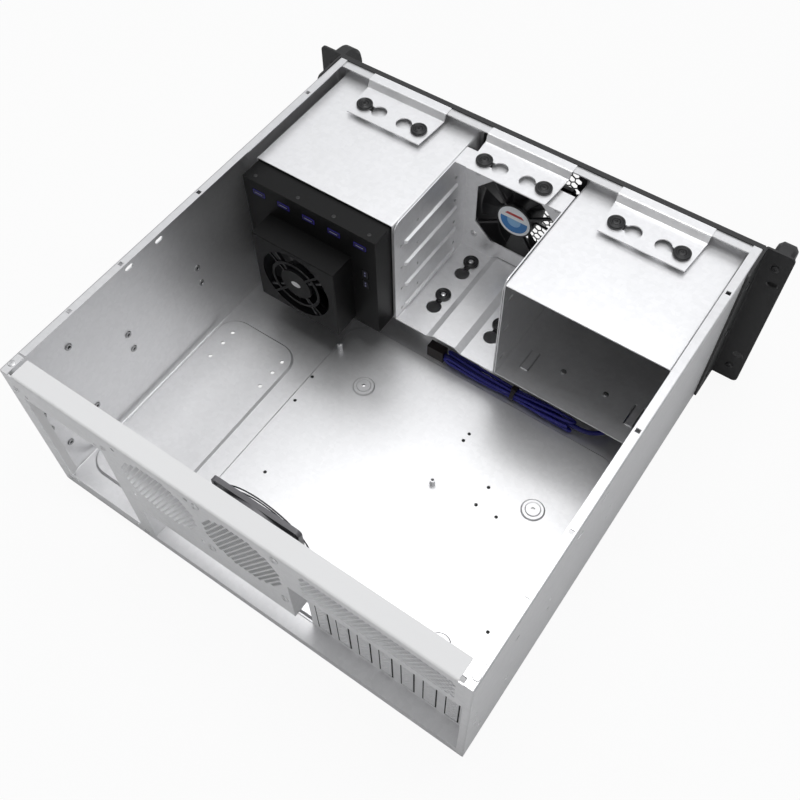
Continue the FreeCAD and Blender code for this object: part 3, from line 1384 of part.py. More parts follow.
# ---- Front USB lead --------------------------------------------------------------------
def lead_bundle():
    """The folded lead as one bundle, drawn in where the tie holds it."""
    length = lead_left - lead_right
    tie_at = lead_left - lead_tie_x
    big, small, nose, span = lead_radius, lead_tie_radius, lead_nose, lead_tie_span
    profile = [(0, 0), (big * 0.7, 0), (big, nose * 0.5), (big, tie_at - span), (small, tie_at - span / 3),
               (small, tie_at + span / 3), (big, tie_at + span), (big, length - nose * 0.5),
               (big * 0.7, length), (0, length)]
    solid = turned(profile)
    solid.Placement = FreeCAD.Placement(V(lead_left, lead_y, sheet + lead_radius + seam),
                                        FreeCAD.Rotation(ALONG_Z, V(-1, 0, 0)))
    return solid


def lead_tie():
    """Cable tie: a thin band and its square head."""
    centre = sheet + lead_radius + seam
    band = rod((lead_tie_x - tie_width / 2, lead_y, centre), lead_tie_radius + tie_thick, tie_width,
               ALONG_X)
    band = band.cut(rod((lead_tie_x - tie_width, lead_y, centre), lead_tie_radius + seam / 2,
                        2 * tie_width, ALONG_X))
    crown = centre + lead_tie_radius + tie_thick
    head = box(lead_tie_x - tie_head, lead_tie_x + tie_head, lead_y - tie_head, lead_y + tie_head,
               crown - tie_thick / 2, crown + tie_head)
    return band.fuse(head).removeSplitter()


def lead_plug():
    """The lead's loose plug, lying on the floor at the bundle's inner end."""
    low = sheet + seam
    body = box(lead_left, lead_left + plug_length, lead_y - plug_width / 2, lead_y + plug_width / 2,
               low, low + plug_height)
    near = lead_y - plug_width / 2
    key = box(lead_left + plug_length * 0.4, lead_left + plug_length, near - plug_key, near,
              low + plug_height * 0.35, low + plug_height * 0.65)
    socket = box(lead_left + plug_length / 2, lead_left + plug_length + 1, near + plug_wall,
                 near + plug_width - plug_wall, low + plug_wall, low + plug_height - plug_wall)
    return body.fuse(key).cut(socket).removeSplitter()


def cord_tube(points, radius):
    """Round cord along straight runs joined by tangent arcs as large as the runs allow."""
    spots = [V(*p) for p in points]
    edges = []
    last = spots[0]
    for i in range(1, len(spots) - 1):
        before, after = spots[i] - spots[i - 1], spots[i + 1] - spots[i]
        turn = before.getAngle(after)
        bend_radius = 0.45 * min(before.Length, after.Length) / math.tan(turn / 2)
        reach = bend_radius * math.tan(turn / 2)
        a = spots[i] - V(before).normalize() * reach
        b = spots[i] + V(after).normalize() * reach
        towards = (V(after).normalize() - V(before).normalize()).normalize()
        centre = spots[i] + towards * (bend_radius / math.cos(turn / 2))
        middle = centre - towards * bend_radius
        edges.append(Part.LineSegment(last, a).toShape())
        edges.append(Part.Arc(a, middle, b).toShape())
        last = b
        print("lead turn", i, "radius", round(bend_radius, 1))
    edges.append(Part.LineSegment(last, spots[-1]).toShape())
    path = Part.Wire(edges)
    way = (spots[1] - spots[0]).normalize()
    ring = Part.Wire([Part.makeCircle(radius, spots[0], way)])
    tube = path.makePipeShell([ring], True, True)
    print("lead length", round(path.Length, 1), "volume share",
          round(tube.Volume / (math.pi * radius ** 2 * path.Length), 4))
    return tube


def lead_tail_cord():
    return cord_tube(lead_tail, lead_cord)


# ---- All nodes -------------------------------------------------------------------------
def build():
    nodes = {}
    nodes["chassis_tray"] = chassis_tray()
    nodes["rear_panel"] = rear_panel()
    nodes["slot_frame"] = slot_frame()
    nodes["slot_covers"] = group([slot_cover(x) for x in slot_centres])
    nodes["slot_screws"] = slot_screws()
    nodes["front_frame"] = front_frame()
    nodes["front_panel"] = front_panel()
    nodes["fan_mesh"] = fan_mesh()
    nodes["bay_cage_left"] = bay_cage(-1)
    nodes["bay_cage_right"] = bay_cage(1)
    nodes["middle_cage"] = middle_cage()
    for name, x in zip(("right", "middle", "left"), bracket_x):
        nodes["top_bracket_" + name] = top_bracket(x)
    nodes["bracket_grommets"] = bracket_grommets()
    nodes["shelf_grommets"] = shelf_grommets()
    nodes["grommet_screws"] = grommet_screws()
    for k in range(blank_count):
        nodes["bay_blank_%d" % (k + 1)] = bay_blank(k)
    nodes["power_button"] = button(power_x, power_radius)
    nodes["reset_button"] = button(reset_x, reset_radius)
    nodes["control_board"] = control_board()
    nodes["indicator_lamps"] = lamps()
    nodes["front_usb_ports"] = usb_ports()
    for name, side in (("left", -1), ("right", 1)):
        nodes["ear_" + name] = ear(side)
        nodes["handle_" + name] = handle(side)
    nodes["handle_screws"] = group([handle_screws(-1), handle_screws(1)])
    nodes["ear_screws"] = group([ear_screws(-1), ear_screws(1)])
    nodes["rear_screws"] = rear_screws()
    nodes["standoffs"] = standoffs()
    nodes["standoff_screw"] = standoff_screw()
    front_fan_y = fan_wall_y - fan_depth
    nodes["front_fan_frame"] = at(fan_frame(front_fan_size, front_fan_holes, front_fan_hub),
                                  0, front_fan_y, front_fan_z)
    nodes["front_fan_rotor"] = at(fan_rotor(front_fan_size, front_fan_hub), 0, front_fan_y, front_fan_z)
    rear_x = vent_x[rear_fan_vent]
    rear_fan_y = rear_inside - fan_depth
    nodes["rear_fan_frame"] = at(fan_frame(rear_fan_size, rear_fan_holes, rear_fan_hub),
                                 rear_x, rear_fan_y, vent_z)
    nodes["rear_fan_rotor"] = at(fan_rotor(rear_fan_size, rear_fan_hub), rear_x, rear_fan_y, vent_z)
    nodes["fan_screws"] = group(
        fan_screws(0, front_fan_z, front_fan_holes, fan_wall_y + cage_sheet)
        + fan_screws(rear_x, vent_z, rear_fan_holes, body_depth))
    nodes["module_housing"] = module_housing()
    nodes["module_backplane"] = backplane()
    nodes["module_data_ports"] = data_ports()
    nodes["module_power_ports"] = power_ports()
    nodes["module_fan_box"] = fan_box()
    box_fan_y = fan_box_rear - module_sheet - fan_depth
    nodes["module_fan_frame"] = at(fan_frame(module_fan_size, module_fan_holes, module_fan_hub),
                                   fan_box_x, box_fan_y, fan_box_z)
    nodes["module_fan_rotor"] = at(fan_rotor(module_fan_size, module_fan_hub),
                                   fan_box_x, box_fan_y, fan_box_z)
    nodes["module_screws"] = module_screws()
    for k in range(tray_count):
        nodes["drive_tray_%d" % (k + 1)] = tray(k)
        nodes["tray_lever_%d" % (k + 1)] = tray_lever(k)
    nodes["usb_lead_bundle"] = lead_bundle()
    nodes["usb_lead_tail"] = lead_tail_cord()
    nodes["usb_lead_tie"] = group([lead_tie(), lead_plug()])
    return nodes


def export(nodes):
    os.makedirs("parts", exist_ok=True)
    for name, shape in nodes.items():
        moved = shape.copy()
        moved.translate(V(0, -middle_y, 0))
        if not moved.isValid() or not moved.Solids:
            print("CHECK", name, "is not a valid solid")
        moved.exportStep("parts/" + name + ".step")
    print(len(nodes), "nodes, moved forward by", middle_y)


export(build())
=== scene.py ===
import bmesh
import bpy
import math
from mathutils import Matrix, Vector


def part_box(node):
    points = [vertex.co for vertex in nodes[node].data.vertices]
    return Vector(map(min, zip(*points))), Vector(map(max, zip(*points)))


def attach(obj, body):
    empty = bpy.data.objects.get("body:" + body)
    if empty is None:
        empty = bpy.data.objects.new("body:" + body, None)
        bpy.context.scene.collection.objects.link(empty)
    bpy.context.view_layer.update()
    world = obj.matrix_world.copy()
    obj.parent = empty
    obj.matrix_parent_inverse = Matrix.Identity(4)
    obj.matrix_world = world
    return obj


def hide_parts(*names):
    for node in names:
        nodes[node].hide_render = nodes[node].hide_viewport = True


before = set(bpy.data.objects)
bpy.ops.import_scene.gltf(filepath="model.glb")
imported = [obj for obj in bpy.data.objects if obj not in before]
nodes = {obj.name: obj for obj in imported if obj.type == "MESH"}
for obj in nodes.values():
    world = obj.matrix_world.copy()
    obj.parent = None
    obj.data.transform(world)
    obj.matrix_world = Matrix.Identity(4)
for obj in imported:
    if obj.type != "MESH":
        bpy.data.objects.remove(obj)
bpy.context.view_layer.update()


# ---- Camera and studio -----------------------------------------------------------------
# The case stands open on a plain white floor and is seen from above its rear left corner.  Soft
# boxes and the room's pale ceiling light it.  The floor shows white and keeps the case's shadow.
def new_material(name):
    """An empty node material, its tree and its output."""
    material = bpy.data.materials.new(name)
    material.use_nodes = True
    material.node_tree.nodes.clear()
    output = material.node_tree.nodes.new("ShaderNodeOutputMaterial")
    return material, material.node_tree, output


def add_node(tree, kind, settings=None, **inputs):
    """A node with its settings and its constant or linked inputs."""
    node = tree.nodes.new(kind)
    for key, value in (settings or {}).items():
        setattr(node, key, value)
    for key, value in inputs.items():
        socket = node.inputs[key.replace("_", " ")]
        if isinstance(value, bpy.types.NodeSocket):
            tree.links.new(value, socket)
        else:
            socket.default_value = value
    return node


def add_maths(tree, operation, first, second):
    node = add_node(tree, "ShaderNodeMath", {"operation": operation})
    for socket, value in zip(node.inputs, (first, second)):
        if isinstance(value, bpy.types.NodeSocket):
            tree.links.new(value, socket)
        else:
            socket.default_value = value
    return node.outputs[0]


def new_object(name, data):
    piece = bpy.data.objects.new(name, data)
    bpy.context.scene.collection.objects.link(piece)
    return piece


camera_place = (-0.2805, 0.4026, 0.7879)
camera_turn = (32.5335, 1.1021, -144.8254)
lens = bpy.data.cameras.new("camera")
lens.sensor_width = 36.0
lens.lens = 43.942
lens.shift_x = 0.0118
lens.shift_y = -0.0038
lens.clip_start = 0.01
camera = new_object("camera", lens)
camera.location = camera_place
camera.rotation_euler = [math.radians(a) for a in camera_turn]
bpy.context.scene.camera = camera
bpy.context.scene.view_settings.view_transform = "Standard"

floor_reach = 6.0
floor_drop = 0.0006
floor_paper = 0.66
floor_glow = 0.93

floor_material, tree, output = new_material("studio_floor")
ray = add_node(tree, "ShaderNodeLightPath")
paper = add_node(tree, "ShaderNodeBsdfDiffuse", Color=(floor_paper, floor_paper, floor_paper, 1))
glow = add_node(tree, "ShaderNodeEmission", Color=(1, 1, 1, 1), Strength=1.0)
share = add_maths(tree, "MULTIPLY", ray.outputs["Is Camera Ray"], floor_glow)
floor_mix = add_node(tree, "ShaderNodeMixShader", Fac=share)
tree.links.new(paper.outputs[0], floor_mix.inputs[1])
tree.links.new(glow.outputs[0], floor_mix.inputs[2])
tree.links.new(floor_mix.outputs[0], output.inputs["Surface"])

floor_mesh = bpy.data.meshes.new("studio_floor")
corners = [(-1, -1), (1, -1), (1, 1), (-1, 1)]
floor_mesh.from_pydata([(x * floor_reach, y * floor_reach, -floor_drop) for x, y in corners], [],
                       [(0, 1, 2, 3)])
floor_mesh.materials.append(floor_material)
new_object("studio_floor", floor_mesh)

ceiling_way = (0.0, -0.45, 0.89)         # towards the ceiling's brightest part, over the front
ceiling_spread = (0.35, 1.0, 0.11, 1.02)  # share of that way, low and high, and their strengths
mirrored_share = 0.10                     # part of the white backdrop that bare metal shows

world = bpy.data.worlds.new("studio")
world.use_nodes = True
bpy.context.scene.world = world
tree = world.node_tree
tree.nodes.clear()
output = add_node(tree, "ShaderNodeOutputWorld")
ray = add_node(tree, "ShaderNodeLightPath")
way = add_node(tree, "ShaderNodeTexCoord")
overhead = add_node(tree, "ShaderNodeVectorMath", {"operation": "DOT_PRODUCT"})
tree.links.new(way.outputs["Generated"], overhead.inputs[0])
overhead.inputs[1].default_value = ceiling_way
ceiling = add_node(tree, "ShaderNodeMapRange", {"interpolation_type": "SMOOTHSTEP"},
                   Value=overhead.outputs["Value"])
for socket, value in zip(("From Min", "From Max", "To Min", "To Max"), ceiling_spread):
    ceiling.inputs[socket].default_value = value
room = add_node(tree, "ShaderNodeBackground", Color=(0.97, 0.98, 1.0, 1),
                Strength=ceiling.outputs["Result"])
backdrop = add_node(tree, "ShaderNodeBackground", Color=(1, 1, 1, 1), Strength=1.0)
seen = add_maths(tree, "ADD", ray.outputs["Is Camera Ray"], ray.outputs["Is Transmission Ray"])
mirrored = add_maths(tree, "MULTIPLY", ray.outputs["Is Glossy Ray"], mirrored_share)
seen = add_maths(tree, "MINIMUM", add_maths(tree, "ADD", seen, mirrored), 1.0)
world_mix = add_node(tree, "ShaderNodeMixShader", Fac=seen)
tree.links.new(room.outputs[0], world_mix.inputs[1])
tree.links.new(backdrop.outputs[0], world_mix.inputs[2])
tree.links.new(world_mix.outputs[0], output.inputs["Surface"])


def softbox(name, place, aim, width, depth, power):
    lamp = bpy.data.lights.new(name, "AREA")
    lamp.shape = "RECTANGLE"
    lamp.size = width
    lamp.size_y = depth
    lamp.energy = power
    holder = new_object(name, lamp)
    holder.location = place
    holder.rotation_euler = (Vector(aim) - Vector(place)).to_track_quat("-Z", "Y").to_euler()


softbox("overhead_box", (-0.05, -0.25, 1.9), (-0.05, 0.0, 0.0), 1.2, 1.0, 12.5)
softbox("side_box", (1.9, 0.5, 1.3), (0.0, 0.0, 0.1), 1.4, 1.2, 3.0)
softbox("rear_box", (-0.6, 2.0, 1.0), (0.0, 0.0, 0.1), 1.4, 1.0, 9.0)


# ---- Front USB lead --------------------------------------------------------------------
# A dark blue jacketed lead that plugs into the control board, runs back along the floor and ends
# in a loose plug, tied in a bunch with folded blue cores that lies across the case under the bays.
lead_route = [(-0.1250, -0.1852, 0.0190), (-0.1250, -0.1753, 0.0190), (-0.1315, -0.1658, 0.0176),
              (-0.1415, -0.1563, 0.0152), (-0.1530, -0.1453, 0.0133), (-0.1630, -0.1328, 0.0120),
              (-0.1705, -0.1193, 0.0111), (-0.1745, -0.1043, 0.0105), (-0.1740, -0.0888, 0.0100),
              (-0.1680, -0.0748, 0.0095), (-0.1560, -0.0658, 0.0091), (-0.1420, -0.0643, 0.0089),
              (-0.1180, -0.0648, 0.0092), (-0.0960, -0.0640, 0.0087), (-0.0760, -0.0644, 0.0089),
              (-0.0520, -0.0647, 0.0092), (-0.0260, -0.0640, 0.0087), (0.0020, -0.0643, 0.0089)]
lead_diameter = 0.0044
core_diameter = 0.0030
core_ring = 0.0057       # cores' middles from the bunch's axis
core_ring_tied = 0.0038
core_runs = 7
tie_middle = 0.0026      # from the tie's low end
tie_reach = 0.018        # length over which the tie draws the cores in
core_turn_room = 0.006
core_sway = (0.5, 30.0)  # cores' wander round the bunch: turn and waves along it


def nurbs_line(name, points):
    """One smooth open line with the points as its control points."""
    line = bpy.data.curves.new(name, "CURVE")
    line.dimensions = "3D"
    line.resolution_u = 8
    spline = line.splines.new("NURBS")
    spline.points.add(len(points) - 1)
    for point, place in zip(spline.points, points):
        point.co = (*place, 1.0)
    spline.order_u = 3
    spline.use_endpoint_u = True
    return line


def object_space(tree, stretch=(1.0, 1.0, 1.0), turn=(0.0, 0.0, 0.0)):
    """Coordinates of the piece's own frame, stretched for grain."""
    where = add_node(tree, "ShaderNodeTexCoord")
    mapping = add_node(tree, "ShaderNodeMapping", Vector=where.outputs["Object"], Scale=stretch,
                       Rotation=turn)
    return mapping.outputs["Vector"]


def remap(tree, value, low, high, start=0.25, end=0.75):
    """Spreads a pattern's middle values over a narrow range."""
    node = add_node(tree, "ShaderNodeMapRange", Value=value)
    node.inputs["From Min"].default_value = start
    node.inputs["From Max"].default_value = end
    node.inputs["To Min"].default_value = low
    node.inputs["To Max"].default_value = high
    return node.outputs["Result"]


def blend_colours(tree, share, first, second, kind="MIX"):
    node = add_node(tree, "ShaderNodeMix", {"data_type": "RGBA", "blend_type": kind})
    for socket, value in ((node.inputs[0], share), (node.inputs[6], first), (node.inputs[7], second)):
        if isinstance(value, bpy.types.NodeSocket):
            tree.links.new(value, socket)
        else:
            socket.default_value = value
    return node.outputs[2]


def grey(tone, tint=1.0):
    return (tone, tone, min(1.0, tone * tint), 1)


def moulding(name, colour, rough, grit=1800.0, relief=0.12, shade=0.8):
    """Moulded plastic or rubber: fine grain, soft cloudy shade and an uneven gloss."""
    material, tree, output = new_material(name)
    place = object_space(tree)
    fine = add_node(tree, "ShaderNodeTexNoise", Vector=place, Scale=grit, Detail=2.0)
    cloud = add_node(tree, "ShaderNodeTexNoise", Vector=place, Scale=35.0, Detail=3.0)
    darker = tuple(c * shade for c in colour) + (1,)
    tone = blend_colours(tree, remap(tree, cloud.outputs["Fac"], 0.0, 1.0), darker, colour + (1,))
    bumps = add_node(tree, "ShaderNodeBump", Height=fine.outputs["Fac"], Strength=relief,
                     Distance=0.0002)
    body = add_node(tree, "ShaderNodeBsdfPrincipled", Base_Color=tone,
                    Roughness=remap(tree, fine.outputs["Fac"], rough - 0.05, rough + 0.05),
                    Normal=bumps.outputs["Normal"])
    tree.links.new(body.outputs[0], output.inputs["Surface"])
    return material


def finish_node(name, material):
    """Gives a carried-over solid its finish."""
    for material_slot in nodes[name].material_slots:
        material_slot.material = material


def as_mesh(piece, name):
    """The evaluated piece as a plain mesh object; the first one is removed."""
    shape = piece.evaluated_get(bpy.context.evaluated_depsgraph_get())
    mesh = bpy.data.meshes.new_from_object(shape)
    bpy.data.objects.remove(piece)
    mesh.name = name
    return new_object(name, mesh)


lead_jacket = moulding("lead_jacket", (0.012, 0.012, 0.20), 0.34)
core_jacket = moulding("core_jacket", (0.022, 0.022, 0.27), 0.34)
tie_nylon = moulding("tie_nylon", (0.02, 0.014, 0.014), 0.42)

lead_line = nurbs_line("front_lead", lead_route)
lead_line.bevel_depth = lead_diameter / 2
lead_line.bevel_resolution = 4
lead_line.use_fill_caps = True
lead_line.materials.append(lead_jacket)
lead = new_object("front_lead", lead_line)

bunch_low, bunch_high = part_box("usb_lead_bundle")
tie_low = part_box("usb_lead_tie")[0]
bunch_y = (bunch_low[1] + bunch_high[1]) / 2
bunch_z = (bunch_low[2] + bunch_high[2]) / 2
tie_x = tie_low[0] + tie_middle
core_route = []
for run in range(core_runs):
    angle = 2 * math.pi * run / core_runs
    ends = (bunch_low[0], bunch_high[0]) if run % 2 == 0 else (bunch_high[0], bunch_low[0])
    way = 1 if run % 2 == 0 else -1
    for share in (0.0, 0.12, 0.25, 0.38, 0.5, 0.62, 0.75, 0.88, 1.0):
        x = ends[0] + way * core_turn_room + (ends[1] - ends[0] - 2 * way * core_turn_room) * share
        near = math.exp(-((x - tie_x) / tie_reach) ** 2)
        ring = core_ring + (core_ring_tied - core_ring) * near
        sway = angle + core_sway[0] * math.sin(core_sway[1] * x)
        core_route.append((x, bunch_y + ring * math.cos(sway), bunch_z + ring * math.sin(sway)))
    if run < core_runs - 1:
        sway = angle + math.pi / core_runs + core_sway[0] * math.sin(core_sway[1] * ends[1])
        core_route.append((ends[1] - way * 0.002, bunch_y + core_ring * math.cos(sway),
                           bunch_z + core_ring * math.sin(sway)))
core_line = nurbs_line("lead_cores", core_route)
core_line.bevel_depth = core_diameter / 2
core_line.bevel_resolution = 3
core_line.use_fill_caps = True
core_line.materials.append(core_jacket)
lead_cores = as_mesh(new_object("lead_cores", core_line), "lead_cores")
finish_node("usb_lead_tie", tie_nylon)

for piece in (lead, lead_cores):
    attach(piece, "chassis")
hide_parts("usb_lead_tail")
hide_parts("usb_lead_bundle")


# ---- Zinc-plated sheet -----------------------------------------------------------------
# Floor tray, front frame, cages and brackets are folded from one zinc-plated steel sheet: a pale
# satin grey with a faint spangle, rolling lines along the sheet and soft clouds of dulled plating.
def zinc_plate(name, tone, rough, grain=(1.0, 1.0, 1.0), metal=0.85):
    material, tree, output = new_material(name)
    place = object_space(tree)
    spangle = add_node(tree, "ShaderNodeTexVoronoi", Vector=place, Scale=260.0, Randomness=1.0)
    flake = add_node(tree, "ShaderNodeSeparateColor", Color=spangle.outputs["Color"])
    cloud = add_node(tree, "ShaderNodeTexNoise", Vector=place, Scale=7.0, Detail=5.0, Roughness=0.6)
    lines = add_node(tree, "ShaderNodeTexNoise", Vector=object_space(tree, grain), Scale=50.0,
                     Detail=5.0, Roughness=0.7)
    plating = blend_colours(tree, remap(tree, cloud.outputs["Fac"], 0.0, 1.0),
                            grey(tone * 0.95, 1.01), grey(tone, 1.01))
    flakes = remap(tree, flake.outputs["Red"], 0.955, 1.0, 0.0, 1.0)
    speckled = blend_colours(tree, 1.0, plating, flakes, "MULTIPLY")
    streak = remap(tree, lines.outputs["Fac"], 0.965, 1.0)
    streaked = blend_colours(tree, 1.0, speckled, streak, "MULTIPLY")
    gloss = add_maths(tree, "ADD", remap(tree, lines.outputs["Fac"], -0.05, 0.05),
                      remap(tree, cloud.outputs["Fac"], rough - 0.04, rough + 0.05))
    relief = add_node(tree, "ShaderNodeBump", Height=lines.outputs["Fac"], Strength=0.06,
                      Distance=0.0004)
    body = add_node(tree, "ShaderNodeBsdfPrincipled", Base_Color=streaked, Metallic=metal,
                    Roughness=gloss, Normal=relief.outputs["Normal"])
    tree.links.new(body.outputs[0], output.inputs["Surface"])
    return material


# One plating in three copies whose tones are set for light and shade: the cages' paler tone is painted
# light and the tray's darker tone is painted shade.
zinc_tray = zinc_plate("zinc_tray", 0.80, 0.37, (1.0, 14.0, 1.0), 0.8)
zinc_panel = zinc_plate("zinc_panel", 0.84, 0.40, (12.0, 1.0, 1.0), 0.55)
zinc_cage = zinc_plate("zinc_cage", 0.93, 0.38, (1.0, 12.0, 1.0), 0.7)
for name in ("chassis_tray", "front_frame"):
    finish_node(name, zinc_tray)
for name in ("bay_cage_left", "bay_cage_right", "middle_cage", "top_bracket_left",
             "top_bracket_middle", "top_bracket_right"):
    finish_node(name, zinc_cage)


# ---- Rear panel ------------------------------------------------------------------------
# The rear sheet is punched with two round fan vents, a vent band and the openings for the supply,
# board and slots, then folded forwards along its top and ends and screwed to the tray.
sheet = 0.0012
vent_pitch = 0.0046
vent_hole = 0.0020
vent_reach = 0.0375
vent_x = (0.0635, -0.0175)
vent_drop = 0.045        # vents' middles under the case's top
band_x = (-0.203, -0.072)
band_drop = (0.041, 0.0074)
sill = 0.012
recess_x = (-0.2084, -0.0592, 0.1015)
recess_tops = (0.1282, 0.067)
supply_x = 0.1595
supply_open = (0.084, 0.128)
supply_screws = (0.074, 0.138)
frame_screws = (0.093, 0.146)
small_hole = 0.0018
vent_screw_half = 0.03575
vent_screw_hole = 0.00215
shoulder_width = 0.0124  # panel's notched corners, from the case's side
flange_depth = 0.018
hem_depth = 0.006
fold_outer = 0.002
fold_inner = 0.0008
edge_round = 0.0002


def tree_socket(tree, label, kind, way="INPUT"):
    tree.interface.new_socket(label, in_out=way, socket_type=kind)


def grown(piece, tree, values):
    """Runs a geometry tree on a piece with named inputs and keeps the result as a plain mesh."""
    modifier = piece.modifiers.new(tree.name, "NODES")
    modifier.node_group = tree
    for item in tree.interface.items_tree:
        if item.item_type == "SOCKET" and item.in_out == "INPUT" and item.name in values:
            modifier[item.identifier] = values[item.name]
    return as_mesh(piece, piece.name)


def make_punched_sheet():
    """Tree: fills an outline round holes at the piece's points and gives the sheet a thickness."""
    tree = bpy.data.node_groups.new("punched_sheet", "GeometryNodeTree")
    tree_socket(tree, "Hole Middles", "NodeSocketGeometry")
    tree_socket(tree, "Outline", "NodeSocketObject")
    tree_socket(tree, "Hole Radius", "NodeSocketFloat")
    tree_socket(tree, "Hole Corners", "NodeSocketInt")
    tree_socket(tree, "Thickness", "NodeSocketFloat")
    tree_socket(tree, "Finish", "NodeSocketMaterial")
    tree_socket(tree, "Sheet", "NodeSocketGeometry", "OUTPUT")
    given = tree.nodes.new("NodeGroupInput")
    hole = add_node(tree, "GeometryNodeCurvePrimitiveCircle", Resolution=given.outputs["Hole Corners"],
                    Radius=given.outputs["Hole Radius"])
    holes = add_node(tree, "GeometryNodeInstanceOnPoints", Points=given.outputs["Hole Middles"],
                     Instance=hole.outputs["Curve"], Rotation=(0.0, 0.0, math.pi / 2))
    punched = add_node(tree, "GeometryNodeRealizeInstances", Geometry=holes.outputs["Instances"])
    edge = add_node(tree, "GeometryNodeObjectInfo", Object=given.outputs["Outline"])
    loops = tree.nodes.new("GeometryNodeJoinGeometry")
    tree.links.new(punched.outputs["Geometry"], loops.inputs[0])
    tree.links.new(edge.outputs["Geometry"], loops.inputs[0])
    face = add_node(tree, "GeometryNodeFillCurve", Curve=loops.outputs[0])
    back = add_node(tree, "GeometryNodeFlipFaces", Mesh=face.outputs["Mesh"])
    front = add_node(tree, "GeometryNodeExtrudeMesh", Mesh=face.outputs["Mesh"],
                     Offset_Scale=given.outputs["Thickness"])
    front.inputs["Individual"].default_value = False
    both = tree.nodes.new("GeometryNodeJoinGeometry")
    tree.links.new(front.outputs["Mesh"], both.inputs[0])
    tree.links.new(back.outputs["Mesh"], both.inputs[0])
    closed = add_node(tree, "GeometryNodeMergeByDistance", Geometry=both.outputs[0], Distance=1e-6)
    whole = add_node(tree, "GeometryNodeRealizeInstances", Geometry=closed.outputs["Geometry"])
    finished = add_node(tree, "GeometryNodeSetMaterial", Geometry=whole.outputs["Geometry"],
                        Material=given.outputs["Finish"])
    result = tree.nodes.new("NodeGroupOutput")
    tree.links.new(finished.outputs["Geometry"], result.inputs[0])
    return tree


punched_sheet = make_punched_sheet()


def hexagon_spots(u0, u1, v0, v1, pitch, inside=lambda u, v: True):
    """Middles of a staggered pattern that fills a rectangle evenly."""
    rise = pitch * math.sqrt(3) / 2
    rows = int((v1 - v0) / rise) + 1
    columns = int((u1 - u0) / pitch) + 1
    left = (u0 + u1 - (columns - 1) * pitch) / 2
    low = (v0 + v1 - (rows - 1) * rise) / 2
    spots = [(left + (i + 0.5 * (j % 2)) * pitch, low + j * rise) for j in range(rows)
             for i in range(columns - j % 2)]
    return [spot for spot in spots if inside(*spot)]


def round_loop(u, v, radius, corners=28):
    return [(u + radius * math.cos(2 * math.pi * k / corners),
             v + radius * math.sin(2 * math.pi * k / corners)) for k in range(corners)]


def square_loop(u0, u1, v0, v1):
    return [(u0, v0), (u1, v0), (u1, v1), (u0, v1)]


def punch(name, loops, spots, radius, thick, material, corners=6):
    """A flat punched sheet in the XY plane, grown along Z."""
    line = bpy.data.curves.new(name + "_outline", "CURVE")
    line.dimensions = "3D"
    for loop in loops:
        spline = line.splines.new("POLY")
        spline.points.add(len(loop) - 1)
        spline.use_cyclic_u = True
        for point, (u, v) in zip(spline.points, loop):
            point.co = (u, v, 0.0, 1.0)
    outline = new_object(name + "_outline", line)
    middles = bpy.data.meshes.new(name)
    middles.from_pydata([(u, v, 0.0) for u, v in spots], [], [])
    piece = grown(new_object(name, middles), punched_sheet,
                  {"Outline": outline, "Hole Radius": radius, "Hole Corners": corners,
                   "Thickness": thick, "Finish": material})
    bpy.data.objects.remove(outline)
    return piece


def upright(mesh, y):
    """Stands a sheet drawn in XY up in the XZ plane, its thickness running forwards from y."""
    mesh.transform(Matrix.Translation((0, y, 0)) @ Matrix.Rotation(math.pi / 2, 4, "X"))


def add_box(mesh_data, low, high, bevel=0.0):
    """Adds a box with slightly rounded edges to a bmesh."""
    made = bmesh.ops.create_cube(mesh_data, size=1.0)
    middle = [(a + b) / 2 for a, b in zip(low, high)]
    for vertex in made["verts"]:
        vertex.co = Vector([m + c * (b - a) for m, c, a, b in zip(middle, vertex.co, low, high)])
    if bevel:
        edges = list({edge for vertex in made["verts"] for edge in vertex.link_edges})
        bmesh.ops.bevel(mesh_data, geom=edges, offset=bevel, segments=2, affect="EDGES", profile=0.5)


def add_strip(mesh_data, section, x0, x1):
    """Adds a folded strip: a closed section in (y, z) run along X."""
    ends = [[mesh_data.verts.new((x, y, z)) for y, z in section] for x in (x0, x1)]
    count = len(section)
    for k in range(count):
        ahead = (k + 1) % count
        mesh_data.faces.new((ends[0][k], ends[0][ahead], ends[1][ahead], ends[1][k]))
    mesh_data.faces.new(list(reversed(ends[0])))
    mesh_data.faces.new(ends[1])


def join_into(piece, mesh_data):
    """Adds a bmesh to a piece's mesh and gives it the piece's finish."""
    bmesh.ops.recalc_face_normals(mesh_data, faces=mesh_data.faces)
    mesh_data.from_mesh(piece.data)
    mesh_data.to_mesh(piece.data)
    mesh_data.free()


panel_low, panel_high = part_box("rear_panel")
rear_face = panel_high[1]
case_top = panel_high[2]
tray_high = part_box("chassis_tray")[1]
flange_x = tray_high[0] - shoulder_width
fold = 0.004
vent_z = case_top - vent_drop
supply_z = 0.019 + supply_open[1] / 2
shoulder = case_top - sheet - 0.0002
loops = [[(panel_low[0], panel_low[2]), (panel_high[0], panel_low[2]), (panel_high[0], shoulder),
          (flange_x, shoulder), (flange_x, case_top - fold), (-flange_x, case_top - fold),
          (-flange_x, shoulder), (panel_low[0], shoulder)],
         [(recess_x[0], sill), (recess_x[2], sill), (recess_x[2], recess_tops[1]),
          (recess_x[1], recess_tops[1]), (recess_x[1], recess_tops[0]), (recess_x[0], recess_tops[0])],
         square_loop(supply_x - supply_open[0] / 2, supply_x + supply_open[0] / 2,
                     supply_z - supply_open[1] / 2, supply_z + supply_open[1] / 2)]
for pitch_x, pitch_z in (supply_screws, frame_screws):
    loops += [round_loop(supply_x + sx * pitch_x / 2, supply_z + sz * pitch_z / 2, small_hole, 16)
              for sx in (-1, 1) for sz in (-1, 1)]
spots = []
